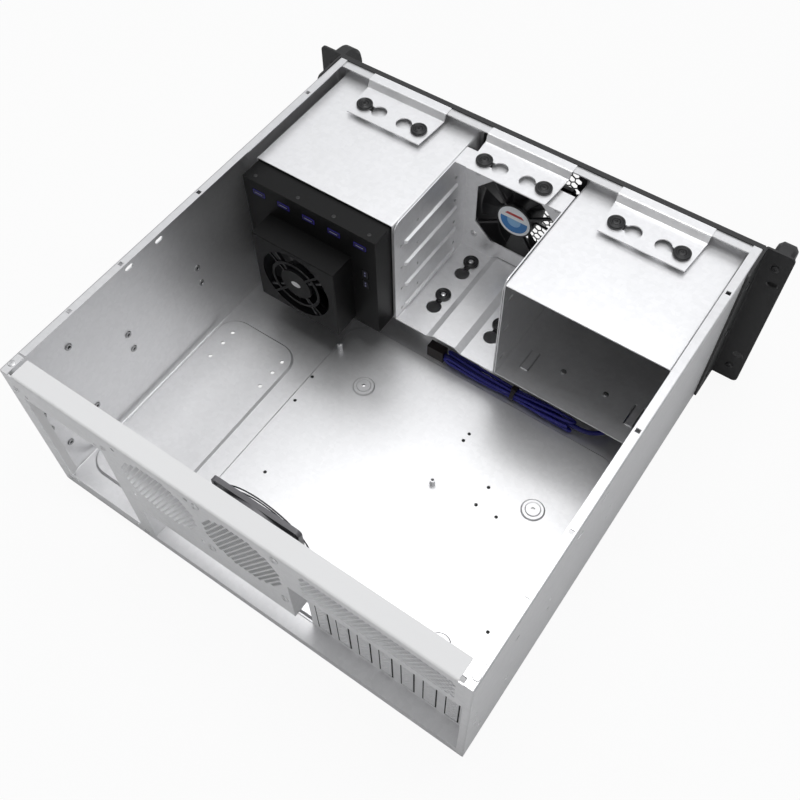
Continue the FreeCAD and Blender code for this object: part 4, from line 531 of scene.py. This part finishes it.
for x in vent_x:
    loops += [round_loop(x + sx * vent_screw_half, vent_z + sz * vent_screw_half, vent_screw_hole, 16)
              for sx in (-1, 1) for sz in (-1, 1)]
    spots += hexagon_spots(x - vent_reach, x + vent_reach, vent_z - vent_reach, vent_z + vent_reach,
                           vent_pitch, lambda u, v: math.hypot(u - x, v - vent_z) < vent_reach - vent_hole)
spots += hexagon_spots(band_x[0] + vent_hole, band_x[1] - vent_hole, case_top - band_drop[0] + vent_hole,
                       case_top - band_drop[1] - vent_hole, vent_pitch)
rear_panel = punch("rear_sheet", loops, spots, vent_hole, sheet, zinc_panel)
upright(rear_panel.data, rear_face)
folds = bmesh.new()
turn = [(math.cos(math.radians(a)), math.sin(math.radians(a))) for a in (0, 22.5, 45, 67.5, 90)]
flange_front = rear_face - flange_depth
section = [(rear_face, case_top - fold)]
section += [(rear_face - fold_outer + fold_outer * c, case_top - fold_outer + fold_outer * s)
            for c, s in turn]
section += [(flange_front, case_top), (flange_front, case_top - sheet)]
section += [(rear_face - fold_outer + fold_inner * c, case_top - fold_outer + fold_inner * s)
            for c, s in reversed(turn)]
section += [(rear_face - sheet, case_top - fold)]
add_strip(folds, section, -flange_x, flange_x)
for side in (-1, 1):
    edge = sorted((side * panel_high[0], side * (panel_high[0] - sheet)))
    add_box(folds, (edge[0], rear_face - sheet - hem_depth, panel_low[2] + 0.001),
            (edge[1], rear_face - sheet, shoulder - 0.001), edge_round)
hem_x = supply_x + supply_open[0] / 2
add_box(folds, (hem_x, rear_face - sheet - hem_depth, supply_z - supply_open[1] / 2),
        (hem_x + sheet, rear_face - sheet, supply_z + supply_open[1] / 2), edge_round)
join_into(rear_panel, folds)
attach(rear_panel, "chassis")
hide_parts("rear_panel")
finish_node("slot_frame", zinc_panel)


# ---- Slot covers -----------------------------------------------------------------------
# Seven pressed steel covers close the expansion slots: each has a raised, finely perforated middle
# that stands in its slot ringed by a near-black strip of painted gap shade, and a tab folded over the
# shelf for its screw.
cover_sheet = 0.0009
cover_width = 0.01842
cover_count = 7
cover_raise = 0.0010
cover_middle = (0.0106, 0.104)
cover_hole = 0.00115
cover_pitch = 0.0034
covers_low, covers_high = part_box("slot_covers")
slot_pitch = (covers_high[0] - covers_low[0] - cover_width) / (cover_count - 1)
cover_top = covers_high[2]
middle_z = (sill + recess_tops[0]) / 2
loops = []
spots = []
for k in range(cover_count):
    x = covers_high[0] - cover_width / 2 - slot_pitch * k
    loops.append(square_loop(x - cover_middle[0] / 2, x + cover_middle[0] / 2,
                             middle_z - cover_middle[1] / 2, middle_z + cover_middle[1] / 2))
    spots += hexagon_spots(x - cover_middle[0] / 2 + cover_hole * 1.4,
                           x + cover_middle[0] / 2 - cover_hole * 1.4,
                           middle_z - cover_middle[1] / 2 + cover_hole * 1.6,
                           middle_z + cover_middle[1] / 2 - cover_hole * 1.6, cover_pitch)
covers = punch("slot_cover_plates", loops, spots, cover_hole, cover_sheet, zinc_panel)
upright(covers.data, covers_low[1] + cover_sheet + cover_raise + sheet * 0.5)
blanks = bmesh.new()
for k in range(cover_count):
    x = covers_high[0] - cover_width / 2 - slot_pitch * k
    face = covers_low[1] + cover_sheet
    for side in (-1, 1):
        edge = sorted((x + side * cover_middle[0] / 2, x + side * cover_width / 2))
        add_box(blanks, (edge[0], covers_low[1], covers_low[2]), (edge[1], face, cover_top), edge_round)
    for z0, z1 in ((covers_low[2], middle_z - cover_middle[1] / 2),
                   (middle_z + cover_middle[1] / 2, cover_top)):
        add_box(blanks, (x - cover_middle[0] / 2, covers_low[1], z0),
                (x + cover_middle[0] / 2, face, z1), edge_round)
    add_box(blanks, (x - cover_width / 2, covers_low[1], cover_top - cover_sheet),
            (x + cover_width / 2, covers_high[1], cover_top), 0.0003)
join_into(covers, blanks)
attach(covers, "chassis")
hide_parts("slot_covers")

# Near-black strips round each cover's middle are painted shade of the gap between cover and frame.
gap_shade_width = 0.0011
gap_shade_thick = 0.0014
seal_foam = moulding("seal_foam", (0.006, 0.006, 0.007), 0.85, 900.0, 0.2)


def piece_from(name, body, material=None):
    """A mesh object made from a bmesh, which is freed."""
    mesh = bpy.data.meshes.new(name)
    body.to_mesh(mesh)
    body.free()
    if material:
        mesh.materials.append(material)
    return new_object(name, mesh)


gap_shades = bmesh.new()
for k in range(cover_count):
    x = covers_high[0] - cover_width / 2 - slot_pitch * k
    face = covers_low[1] + cover_sheet
    half_x, half_z = cover_middle[0] / 2 + 0.0001, cover_middle[1] / 2 + 0.0001
    for side in (-1, 1):
        edge = sorted((x + side * half_x, x + side * (half_x + gap_shade_width)))
        add_box(gap_shades, (edge[0], face, middle_z - half_z - gap_shade_width),
                (edge[1], face + gap_shade_thick, middle_z + half_z + gap_shade_width), 0.0001)
        edge = sorted((middle_z + side * half_z, middle_z + side * (half_z + gap_shade_width)))
        add_box(gap_shades, (x - half_x, face, edge[0]), (x + half_x, face + gap_shade_thick, edge[1]), 0.0001)
slot_seals = piece_from("slot_seals", gap_shades, seal_foam)
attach(slot_seals, "chassis")


# ---- Black coated steel ----------------------------------------------------------------
# Front panel, ears, handles and the drive module's box are steel with a fine textured black
# powder coat in soft random clouds of tone, with pale flecks in its colour as painted glints.
def powder_coat(name, tone, rough, grit, glint_paint_share=0.0, gloss=0.5):
    material, tree, output = new_material(name)
    place = object_space(tree)
    fine = add_node(tree, "ShaderNodeTexNoise", Vector=place, Scale=grit, Detail=3.0, Roughness=0.6)
    cloud = add_node(tree, "ShaderNodeTexNoise", Vector=place, Scale=14.0, Detail=3.0)
    shade = blend_colours(tree, remap(tree, cloud.outputs["Fac"], 0.0, 1.0), grey(tone * 0.85, 1.03),
                          grey(tone * 1.15, 1.03))
    # Pale flecks mixed into the coat's colour are painted glints.
    painted_glints = remap(tree, fine.outputs["Fac"], 0.0, glint_paint_share, 0.62, 0.78)
    coat = blend_colours(tree, painted_glints, shade, grey(0.5))
    relief = add_node(tree, "ShaderNodeBump", Height=fine.outputs["Fac"], Strength=0.3,
                      Distance=0.0003)
    body = add_node(tree, "ShaderNodeBsdfPrincipled", Base_Color=coat,
                    Roughness=remap(tree, fine.outputs["Fac"], rough - 0.05, rough + 0.07),
                    Normal=relief.outputs["Normal"])
    body.inputs["Specular IOR Level"].default_value = gloss
    tree.links.new(body.outputs[0], output.inputs["Surface"])
    return material


black_coat = powder_coat("black_coat", 0.020, 0.50, 1400.0, 0.2)
module_coat = powder_coat("module_coat", 0.005, 0.42, 1400.0, 0.05, 0.20)
for name in ("front_panel", "ear_left", "ear_right", "handle_left", "handle_right"):
    finish_node(name, black_coat)
for name in ("module_housing", "module_fan_box"):
    finish_node(name, module_coat)


# ---- Front air mesh --------------------------------------------------------------------
# A thin black honeycomb sheet that lies behind the front panel's middle opening.
mesh_pitch = 0.0070
mesh_hole = 0.0036
mesh_low, mesh_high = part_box("fan_mesh")
mesh_border = 0.0036
spots = hexagon_spots(mesh_low[0] + mesh_border + mesh_hole, mesh_high[0] - mesh_border - mesh_hole,
                      mesh_low[2] + mesh_border + mesh_hole, mesh_high[2] - mesh_border - mesh_hole,
                      mesh_pitch)
air_mesh = punch("air_mesh", [square_loop(mesh_low[0], mesh_high[0], mesh_low[2], mesh_high[2])], spots,
                 mesh_hole, mesh_high[1] - mesh_low[1], black_coat)
upright(air_mesh.data, mesh_high[1])
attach(air_mesh, "chassis")
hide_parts("fan_mesh")


# ---- Screws ----------------------------------------------------------------------------
# Cross-recessed pan-head screws hold the covers, fans, ears, handles and rubber mounts.  Those on
# the front fittings, on the drive module and in the hanging mounts are blackened, the others zinc.
recess_depth_share = 0.55
recess_half_share = 0.5
recess_wall_share = 0.11


def lathe(profile, corners):
    """A closed turned mesh about Z from (radius, height) points, both ends on the axis."""
    body = bmesh.new()
    rings = []
    for radius, height in profile:
        if radius == 0:
            rings.append([body.verts.new((0, 0, height))])
        else:
            rings.append([body.verts.new((radius * math.cos(2 * math.pi * k / corners),
                                          radius * math.sin(2 * math.pi * k / corners), height))
                          for k in range(corners)])
    for lower, upper in zip(rings, rings[1:]):
        for k in range(corners):
            ahead = (k + 1) % corners
            ring = [lower[k % len(lower)], lower[ahead % len(lower)], upper[ahead % len(upper)],
                    upper[k % len(upper)]]
            body.faces.new(list(dict.fromkeys(ring)))
    bmesh.ops.recalc_face_normals(body, faces=body.faces)
    return body


def screw_shape(name, head, height, shank, reach):
    """A pan-head screw with a cross recess, its head's seat at the origin."""
    dome = [(head * math.cos(math.radians(a)), height * (0.4 + 0.6 * math.sin(math.radians(a))))
            for a in (0, 30, 55, 75)]
    screw = piece_from(name, lathe([(0, -reach), (shank, -reach), (shank, 0), (head, 0)] + dome
                                   + [(0, height)], 20))
    cross = bmesh.new()
    arm, half_wall, depth = head * recess_half_share, head * recess_wall_share, height * recess_depth_share
    for long_x, long_y in ((arm, half_wall), (half_wall, arm)):
        add_box(cross, (-long_x, -long_y, height - depth), (long_x, long_y, height + depth))
    cutter = piece_from(name + "_cutter", cross)
    cut = screw.modifiers.new("recess", "BOOLEAN")
    cut.operation = "DIFFERENCE"
    cut.solver = "EXACT"
    cut.use_self = True
    cut.object = cutter
    screw = as_mesh(screw, name)
    bpy.data.objects.remove(cutter)
    return screw


def make_placed_copies():
    """Tree: one copy of a shape at each point, turned as the points' own turn says."""
    tree = bpy.data.node_groups.new("placed_copies", "GeometryNodeTree")
    tree_socket(tree, "Places", "NodeSocketGeometry")
    tree_socket(tree, "Shape", "NodeSocketObject")
    tree_socket(tree, "Finish", "NodeSocketMaterial")
    tree_socket(tree, "Copies", "NodeSocketGeometry", "OUTPUT")
    given = tree.nodes.new("NodeGroupInput")
    shape = add_node(tree, "GeometryNodeObjectInfo", Object=given.outputs["Shape"])
    turn = add_node(tree, "GeometryNodeInputNamedAttribute", {"data_type": "FLOAT_VECTOR"}, Name="turn")
    copies = add_node(tree, "GeometryNodeInstanceOnPoints", Points=given.outputs["Places"],
                      Instance=shape.outputs["Geometry"], Rotation=turn.outputs["Attribute"])
    whole = add_node(tree, "GeometryNodeRealizeInstances", Geometry=copies.outputs["Instances"])
    finished = add_node(tree, "GeometryNodeSetMaterial", Geometry=whole.outputs["Geometry"],
                        Material=given.outputs["Finish"])
    result = tree.nodes.new("NodeGroupOutput")
    tree.links.new(finished.outputs["Geometry"], result.inputs[0])
    return tree


placed_copies = make_placed_copies()


def place_copies(name, shape, places, turns, material):
    points = bpy.data.meshes.new(name)
    points.from_pydata(places, [], [])
    attribute = points.attributes.new("turn", "FLOAT_VECTOR", "POINT")
    for item, turn in zip(attribute.data, turns):
        item.vector = turn
    return grown(new_object(name, points), placed_copies, {"Shape": shape, "Finish": material})


def solid_boxes(name):
    """Lowest and highest corners of each separate solid in a carried-over node."""
    copy = bmesh.new()
    copy.from_mesh(nodes[name].data)
    bmesh.ops.remove_doubles(copy, verts=copy.verts, dist=1e-6)
    copy.verts.ensure_lookup_table()
    left = set(copy.verts)
    boxes = []
    while left:
        group = [left.pop()]
        for vertex in group:
            near = {edge.other_vert(vertex) for edge in vertex.link_edges} & left
            left -= near
            group.extend(near)
        boxes.append(tuple(Vector([pick(v.co[i] for v in group) for i in range(3)])
                           for pick in (min, max)))
    copy.free()
    return boxes


UP = (0.0, 0.0, 0.0)
REARWARDS = (-math.pi / 2, 0.0, 0.0)
OUTWARDS = {-1: (0.0, -math.pi / 2, 0.0), 1: (0.0, math.pi / 2, 0.0)}


def screw_seats(name, axis, height):
    """Seats of a node's screws: on each one's axis, below its head."""
    seats = []
    for low, high in solid_boxes(name):
        seat = (low + high) / 2
        seat[axis] = high[axis] - height
        seats.append(tuple(seat))
    return seats


def screw_set(name, size, seats, turns, material, node):
    """Screws on their seats; a size is head radius, head height, shank radius and reach."""
    shape = screw_shape(name + "_shape", *size)
    screws = place_copies(name, shape, seats, turns, material)
    bpy.data.objects.remove(shape)
    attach(screws, "chassis")
    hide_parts(node)


def fit_screws(name, node, axis, size, material):
    """Puts a screw in the place of each of a node's, heads up or rearwards."""
    seats = screw_seats(node, axis, size[1])
    screw_set(name, size, seats, [UP if axis == 2 else REARWARDS] * len(seats), material, node)


screw_zinc = zinc_plate("screw_zinc", 0.74, 0.28, metal=0.9)
screw_black = powder_coat("screw_black", 0.018, 0.36, 2400.0)
fit_screws("cover_screws", "slot_screws", 2, (0.0032, 0.0020, 0.0014, 0.005), screw_zinc)
fit_screws("fan_fixings", "fan_screws", 1, (0.0037, 0.0016, 0.0018, 0.009), screw_zinc)
fit_screws("handle_fixings", "handle_screws", 1, (0.0036, 0.0016, 0.0018, 0.009), screw_black)
ear_screw = (0.0038, 0.0015, 0.0017, 0.0045)
seats = []
turns = []
for low, high in solid_boxes("ear_screws"):
    side = 1 if low[0] > 0 else -1
    seat = (low + high) / 2
    seat[0] = (high[0] - ear_screw[1]) if side > 0 else (low[0] + ear_screw[1])
    seats.append(tuple(seat))
    turns.append(OUTWARDS[side])
screw_set("ear_fixings", ear_screw, seats, turns, screw_black, "ear_screws")
rear_screw = (0.0030, 0.0007, 0.0015, 0.004)
tall_head = 0.0014       # heads of those that stand on the panel
lying_length = 0.0061
seats = []
turns = []
for low, high in solid_boxes("rear_screws"):
    seat = (low + high) / 2
    standing = high[2] - low[2] < lying_length and high[1] - low[1] > lying_length
    if standing:
        seat[1] = high[1] - tall_head
    else:
        seat[2] = high[2] - rear_screw[1]
    seats.append(tuple(seat))
    turns.append(REARWARDS if standing else UP)
screw_set("rear_fixings", rear_screw, seats, turns, screw_zinc, "rear_screws")
fit_screws("board_screw", "standoff_screw", 2, (0.0030, 0.0018, 0.0012, 0.004), screw_zinc)
fit_screws("module_fixings", "module_screws", 2, (0.0019, 0.0005, 0.0011, 0.003), screw_black)


# ---- Clinch nuts and rivets ------------------------------------------------------------
# Pressed-in steel nuts stand in the side walls' rail holes, each with a near-black disc of painted shade
# in its blind bore.  The board's threaded holes in the floor's raised area get near-black discs of painted
# shade, and rivets hold the sheets under the bays.
nut_spots = ((0.0347, 0.074), (0.0347, 0.095), (0.1267, 0.074), (0.1267, 0.095), (0.2295, 0.074),
             (0.2295, 0.095), (0.1817, 0.140), (0.1827, 0.051), (0.2202, 0.0395))
nut_wall = tray_high[0] - sheet
nut_dull = zinc_plate("nut_dull", 0.42, 0.30, metal=0.9)
# Near-black discs sunk in the bores and holes are painted shade.
thread_dark = moulding("thread_dark", (0.008, 0.008, 0.009), 0.6, 900.0, 0.1)


def turned_piece(name, profile, corners, seats, turns, material):
    """Copies of a small turned part on their seats, as one piece of the case."""
    shape = piece_from(name + "_shape", lathe(profile, corners))
    piece = place_copies(name, shape, seats, turns, material)
    bpy.data.objects.remove(shape)
    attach(piece, "chassis")
    return piece


seats = [(side * nut_wall, y, z) for side in (-1, 1) for y, z in nut_spots]
turns = [OUTWARDS[-side] for side in (-1, 1) for y, z in nut_spots]
turned_piece("clinch_nuts", [(0, -0.0009), (0.0019, -0.0009), (0.0019, 0.0), (0.0034, 0.0),
                             (0.0034, 0.0006), (0.0029, 0.0011), (0.0018, 0.0011),
                             (0.0015, 0.0004), (0, 0.0004)], 24, seats, turns, nut_dull)
turned_piece("nut_threads", [(0, 0.00045), (0.0014, 0.00045), (0.0014, 0.0007), (0, 0.0007)], 20,
             seats, turns, thread_dark)

board_columns = (0.0930, -0.0645, -0.1889)
board_rows = (-0.0155, 0.0569, 0.2118)
spare_shaded_holes = ((0.0960, 0.0262), (0.0677, 0.1332), (-0.0637, -0.0058), (-0.0630, 0.0032),
                 (-0.1080, 0.0312), (-0.1080, 0.0522), (-0.1290, 0.0522), (-0.1785, 0.1448))
hole_shade_top = 0.0031
seats = [(x, y, hole_shade_top) for x in board_columns for y in board_rows
         if (x, y) != (board_columns[1], board_rows[0])]
seats += [(x, y, hole_shade_top) for x, y in spare_shaded_holes]
turned_piece("board_threads", [(0, -0.0018), (0.00165, -0.0018), (0.00165, 0.0), (0, 0.0)], 20, seats,
             [UP] * len(seats), thread_dark)

bay_low, bay_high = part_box("bay_cage_left")
bay_x = abs(bay_low[0] + bay_high[0]) / 2
rivet_step = 0.022       # to each side of the bay's middle
rivet_y = -0.0928
rivet_floor = 0.0380
seats = [(side * (bay_x + step), rivet_y, rivet_floor) for side in (-1, 1)
         for step in (-rivet_step, rivet_step)]
turned_piece("bay_rivets", [(0, -0.0009), (0.0015, -0.0009), (0.0015, 0.0), (0.0030, 0.0),
                            (0.0028, 0.0005), (0.0020, 0.0009), (0.0010, 0.0011), (0, 0.0011)], 24,
             seats, [UP] * len(seats), nut_dull)


# ---- Rubber mounts ---------------------------------------------------------------------
# Black rubber grommets sit in the brackets' and the shelf's keyholes.  Each is a round spool with
# a groove round its top and a screw down its middle; the screws on the shelf are bright.
rubber = moulding("mount_rubber", (0.008, 0.008, 0.009), 0.36, 900.0, 0.15)
mount_radius = 0.00775
mount_neck = 0.0043
mount_bore = 0.0017


def mount_shape(name, neck, foot):
    """A rubber spool, the sheet's underside at the origin."""
    top = neck + 0.003
    rounding = [(math.cos(math.radians(a)), math.sin(math.radians(a))) for a in (0, 30, 60, 90)]
    lip = 0.0009
    profile = [(mount_bore, -foot), (mount_radius, -foot), (mount_radius, 0.0), (mount_neck, 0.0),
               (mount_neck, neck), (mount_radius, neck)]
    profile += [(mount_radius - lip + lip * c, top - lip + lip * s) for c, s in rounding]
    profile += [(mount_radius - 0.0017, top), (mount_radius - 0.0020, top - 0.0007),
                (mount_radius - 0.0026, top - 0.0007), (mount_radius - 0.0030, top - 0.0002),
                (0.0037, top), (0.0035, top - 0.0016), (mount_bore, top - 0.0016)]
    body = lathe(profile, 40)
    rim = [edge for edge in body.edges if edge.is_boundary]
    bmesh.ops.bridge_loops(body, edges=rim)
    bmesh.ops.recalc_face_normals(body, faces=body.faces)
    mount = piece_from(name, body)
    for face in mount.data.polygons:
        face.use_smooth = True
    return mount


for node, neck, foot in (("bracket_grommets", 0.0012, 0.0038), ("shelf_grommets", 0.001, 0.003)):
    places = []
    for low, high in solid_boxes(node):
        place = (low + high) / 2
        place[2] = low[2] + foot
        places.append(tuple(place))
    shape = mount_shape(node + "_shape", neck, foot)
    mounts = place_copies(node + "_rubber", shape, places, [UP] * len(places), rubber)
    for face in mounts.data.polygons:
        face.use_smooth = True
    bpy.data.objects.remove(shape)
    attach(mounts, "chassis")
    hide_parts(node)

mount_screw_drop = 0.0016
bracket_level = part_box("bracket_grommets")[0][2]
seats = screw_seats("grommet_screws", 2, mount_screw_drop)
hung = [seat for seat in seats if seat[2] > bracket_level]
shelf = [seat for seat in seats if seat[2] <= bracket_level]
screw_set("hung_screws", (0.0034, 0.0014, 0.0014, 0.0085), hung, [UP] * len(hung), screw_black,
          "grommet_screws")
screw_set("shelf_screws", (0.0025, 0.0014, 0.0014, 0.0085), shelf, [UP] * len(shelf), screw_zinc,
          "grommet_screws")


# ---- Fans ------------------------------------------------------------------------------
# Three axial fans with moulded housings and seven-bladed rotors.  The front one has a round paper
# label on its motor plate, in plain colours; the rear one has a slightly domed wire guard inside.
fan_black = moulding("fan_black", (0.016, 0.016, 0.018), 0.34, 2600.0, 0.08)
fan_grey = moulding("fan_grey", (0.135, 0.132, 0.142), 0.40, 2400.0, 0.10)
for name in nodes:
    if "_fan_frame" in name or "_fan_rotor" in name:
        finish_node(name, fan_grey if name.startswith("rear") else fan_black)


def disc_mesh(name, x, y, z, radius, thick, material, squash=1.0):
    """A thin round piece whose face looks rearwards."""
    disc = piece_from(name, lathe([(0, 0), (radius, 0), (radius, thick * 0.7),
                                   (radius - thick * 0.3, thick), (0, thick)], 48), material)
    disc.data.transform(Matrix.Translation((x, y, z)) @ Matrix.Rotation(-math.pi / 2, 4, "X")
                        @ Matrix.Diagonal((1.0, squash, 1.0, 1.0)))
    return disc


def paper_label(name, x, z, radius):
    """Printed paper: a white rim round a blue field with a pale band and a red stripe."""
    material, tree, output = new_material(name)
    place = add_node(tree, "ShaderNodeTexCoord")
    centred = add_node(tree, "ShaderNodeMapping", Vector=place.outputs["Object"],
                       Location=(-x / radius, 0.0, -z / radius),
                       Scale=(1 / radius, 0.0, 1 / radius))
    distance = add_node(tree, "ShaderNodeVectorMath", {"operation": "LENGTH"})
    tree.links.new(centred.outputs["Vector"], distance.inputs[0])
    parts = add_node(tree, "ShaderNodeSeparateXYZ", Vector=centred.outputs["Vector"])
    field = add_maths(tree, "LESS_THAN", distance.outputs["Value"], 0.84)
    lower = add_maths(tree, "LESS_THAN", parts.outputs["Z"], 0.12)
    blue = add_maths(tree, "MULTIPLY", field, lower)
    ring = add_maths(tree, "LESS_THAN", distance.outputs["Value"], 0.42)
    stripe = add_maths(tree, "LESS_THAN", add_maths(tree, "ABSOLUTE", add_maths(
        tree, "SUBTRACT", parts.outputs["Z"], 0.46), 0.0), 0.09)
    stripe = add_maths(tree, "MULTIPLY", stripe, add_maths(tree, "LESS_THAN",
                                                           distance.outputs["Value"], 0.7))
    grain = add_node(tree, "ShaderNodeTexNoise", Vector=object_space(tree), Scale=900.0, Detail=2.0)
    paper = blend_colours(tree, remap(tree, grain.outputs["Fac"], 0.0, 1.0), (0.80, 0.83, 0.86, 1),
                          (0.88, 0.90, 0.92, 1))
    tone = blend_colours(tree, blue, paper, (0.05, 0.22, 0.55, 1))
    tone = blend_colours(tree, add_maths(tree, "MULTIPLY", ring, lower), tone, (0.25, 0.48, 0.75, 1))
    tone = blend_colours(tree, stripe, tone, (0.55, 0.06, 0.06, 1))
    body = add_node(tree, "ShaderNodeBsdfPrincipled", Base_Color=tone, Roughness=0.35)
    tree.links.new(body.outputs[0], output.inputs["Surface"])
    return material


motor_low, motor_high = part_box("front_fan_frame")
motor_z = (motor_low[2] + motor_high[2]) / 2
label_radius = 0.0172
label_thick = 0.00025
label = disc_mesh("front_fan_label", 0.0, motor_high[1], motor_z, label_radius, label_thick,
                  paper_label("label_paper", 0.0, motor_z, label_radius))
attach(label, "chassis")

wire_radius = 0.0006
guard_low, guard_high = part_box("rear_fan_frame")
guard_x = (guard_low[0] + guard_high[0]) / 2
guard_z = (guard_low[2] + guard_high[2]) / 2
guard_y = guard_low[1] - wire_radius
guard_wire = moulding("guard_wire", (0.05, 0.05, 0.055), 0.28, 900.0, 0.05)
wires = bpy.data.curves.new("rear_guard", "CURVE")
wires.dimensions = "3D"
wires.bevel_depth = wire_radius
wires.bevel_resolution = 2
wires.use_fill_caps = True
wires.materials.append(guard_wire)
guard_dome = ((0.013, 0.0026), (0.0205, 0.0025), (0.028, 0.0023), (0.0355, 0.0019), (0.0425, 0.0013))
guard_foot = ((0.0475, 0.0006), (0.0505, 0.0))
guard_corners = 64
for radius, rise in guard_dome:
    ring = wires.splines.new("POLY")
    ring.points.add(guard_corners - 1)
    ring.use_cyclic_u = True
    for point, (u, v) in zip(ring.points, round_loop(guard_x, guard_z, radius, guard_corners)):
        point.co = (u, guard_y - rise, v, 1.0)
for k in range(4):
    angle = math.radians(45 + 90 * k)
    spoke = wires.splines.new("POLY")
    spoke.points.add(len(guard_dome) + 1)
    for point, (radius, rise) in zip(spoke.points, guard_dome + guard_foot):
        point.co = (guard_x + radius * math.cos(angle), guard_y - rise + 1.6 * wire_radius,
                    guard_z + radius * math.sin(angle), 1.0)
rear_guard = as_mesh(new_object("rear_guard", wires), "rear_guard")
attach(rear_guard, "chassis")

box_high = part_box("module_fan_box")[1]
box_fan_low, box_fan_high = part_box("module_fan_frame")
sticker_x = (box_fan_low[0] + box_fan_high[0]) / 2
sticker_z = (box_fan_low[2] + box_fan_high[2]) / 2
sticker_white = moulding("sticker_white", (0.75, 0.75, 0.75), 0.4, 900.0, 0.05)
sticker_radius = 0.0052
sticker_thick = 0.0002
sticker_squash = 0.62
sticker = disc_mesh("guard_sticker", sticker_x, box_high[1], sticker_z, sticker_radius, sticker_thick,
                    sticker_white, sticker_squash)
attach(sticker, "chassis")


# ---- Drive module's fittings -----------------------------------------------------------
# Moulded trays with swing-out levers fill the module's front.  Its rear wall shows five blue-edged
# drive sockets with pale tongues and two dark power sockets, all fixed to a green board inside.
black_moulding = moulding("black_moulding", (0.018, 0.018, 0.019), 0.40, 2600.0)
for name in nodes:
    if name.startswith(("drive_tray", "tray_lever", "bay_blank")) or name.endswith("_button"):
        finish_node(name, black_moulding)
socket_blue = moulding("socket_blue", (0.045, 0.035, 0.30), 0.32)
socket_black = moulding("socket_black", (0.02, 0.02, 0.022), 0.38)
board_green = moulding("board_green", (0.02, 0.09, 0.05), 0.35)
finish_node("module_data_ports", socket_blue)
finish_node("module_power_ports", socket_black)
for name in ("control_board", "module_backplane"):
    finish_node(name, board_green)
tongue_white = moulding("tongue_white", (0.30, 0.30, 0.50), 0.35)
socket_depth = moulding("socket_depth", (0.004, 0.004, 0.014), 0.5, 900.0, 0.1)
socket_rim = {"module_data_ports": 0.0009, "module_power_ports": 0.0007}
well_sunk = 0.001
well_stand = 0.00015
tongue_stand = 0.0004
tongue_inset = 0.0024
tongue_half = 0.0004
pin_half = (0.0006, 0.0009)
socket_round = 0.0001
# Near-black faces over the sockets' openings are painted shade of their depth, laid over the sockets' dark
# plastic.
tongues = bmesh.new()
wells = bmesh.new()
for name, rim in socket_rim.items():
    for low, high in solid_boxes(name):
        add_box(wells, (low[0] + rim, high[1] - well_sunk, low[2] + rim),
                (high[0] - rim, high[1] + well_stand, high[2] - rim), socket_round)
for low, high in solid_boxes("module_data_ports"):
    middle = (low[2] + high[2]) / 2
    add_box(tongues, (low[0] + tongue_inset, high[1] - 0.003, middle - tongue_half),
            (high[0] - tongue_inset, high[1] + tongue_stand, middle + tongue_half), socket_round)
for low, high in solid_boxes("module_power_ports"):
    middle = (low[0] + high[0]) / 2
    for z0 in (low[2] * 0.7 + high[2] * 0.3, low[2] * 0.3 + high[2] * 0.7):
        add_box(tongues, (middle - pin_half[0], high[1] - 0.002, z0 - pin_half[1]),
                (middle + pin_half[0], high[1] + tongue_stand, z0 + pin_half[1]), socket_round)
socket_wells = piece_from("socket_wells", wells, socket_depth)
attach(socket_wells, "chassis")
socket_tongues = piece_from("socket_tongues", tongues, tongue_white)
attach(socket_tongues, "chassis")


# ---- Small fittings --------------------------------------------------------------------
# Bright nickel sockets and milky lamp lenses on the front, and plated standoffs on the floor.
finish_node("indicator_lamps", moulding("lamp_milk", (0.5, 0.55, 0.45), 0.25))
finish_node("front_usb_ports", zinc_plate("socket_nickel", 0.75, 0.22, metal=0.95))
finish_node("standoffs", zinc_plate("standoff_plate", 0.55, 0.28, metal=0.9))
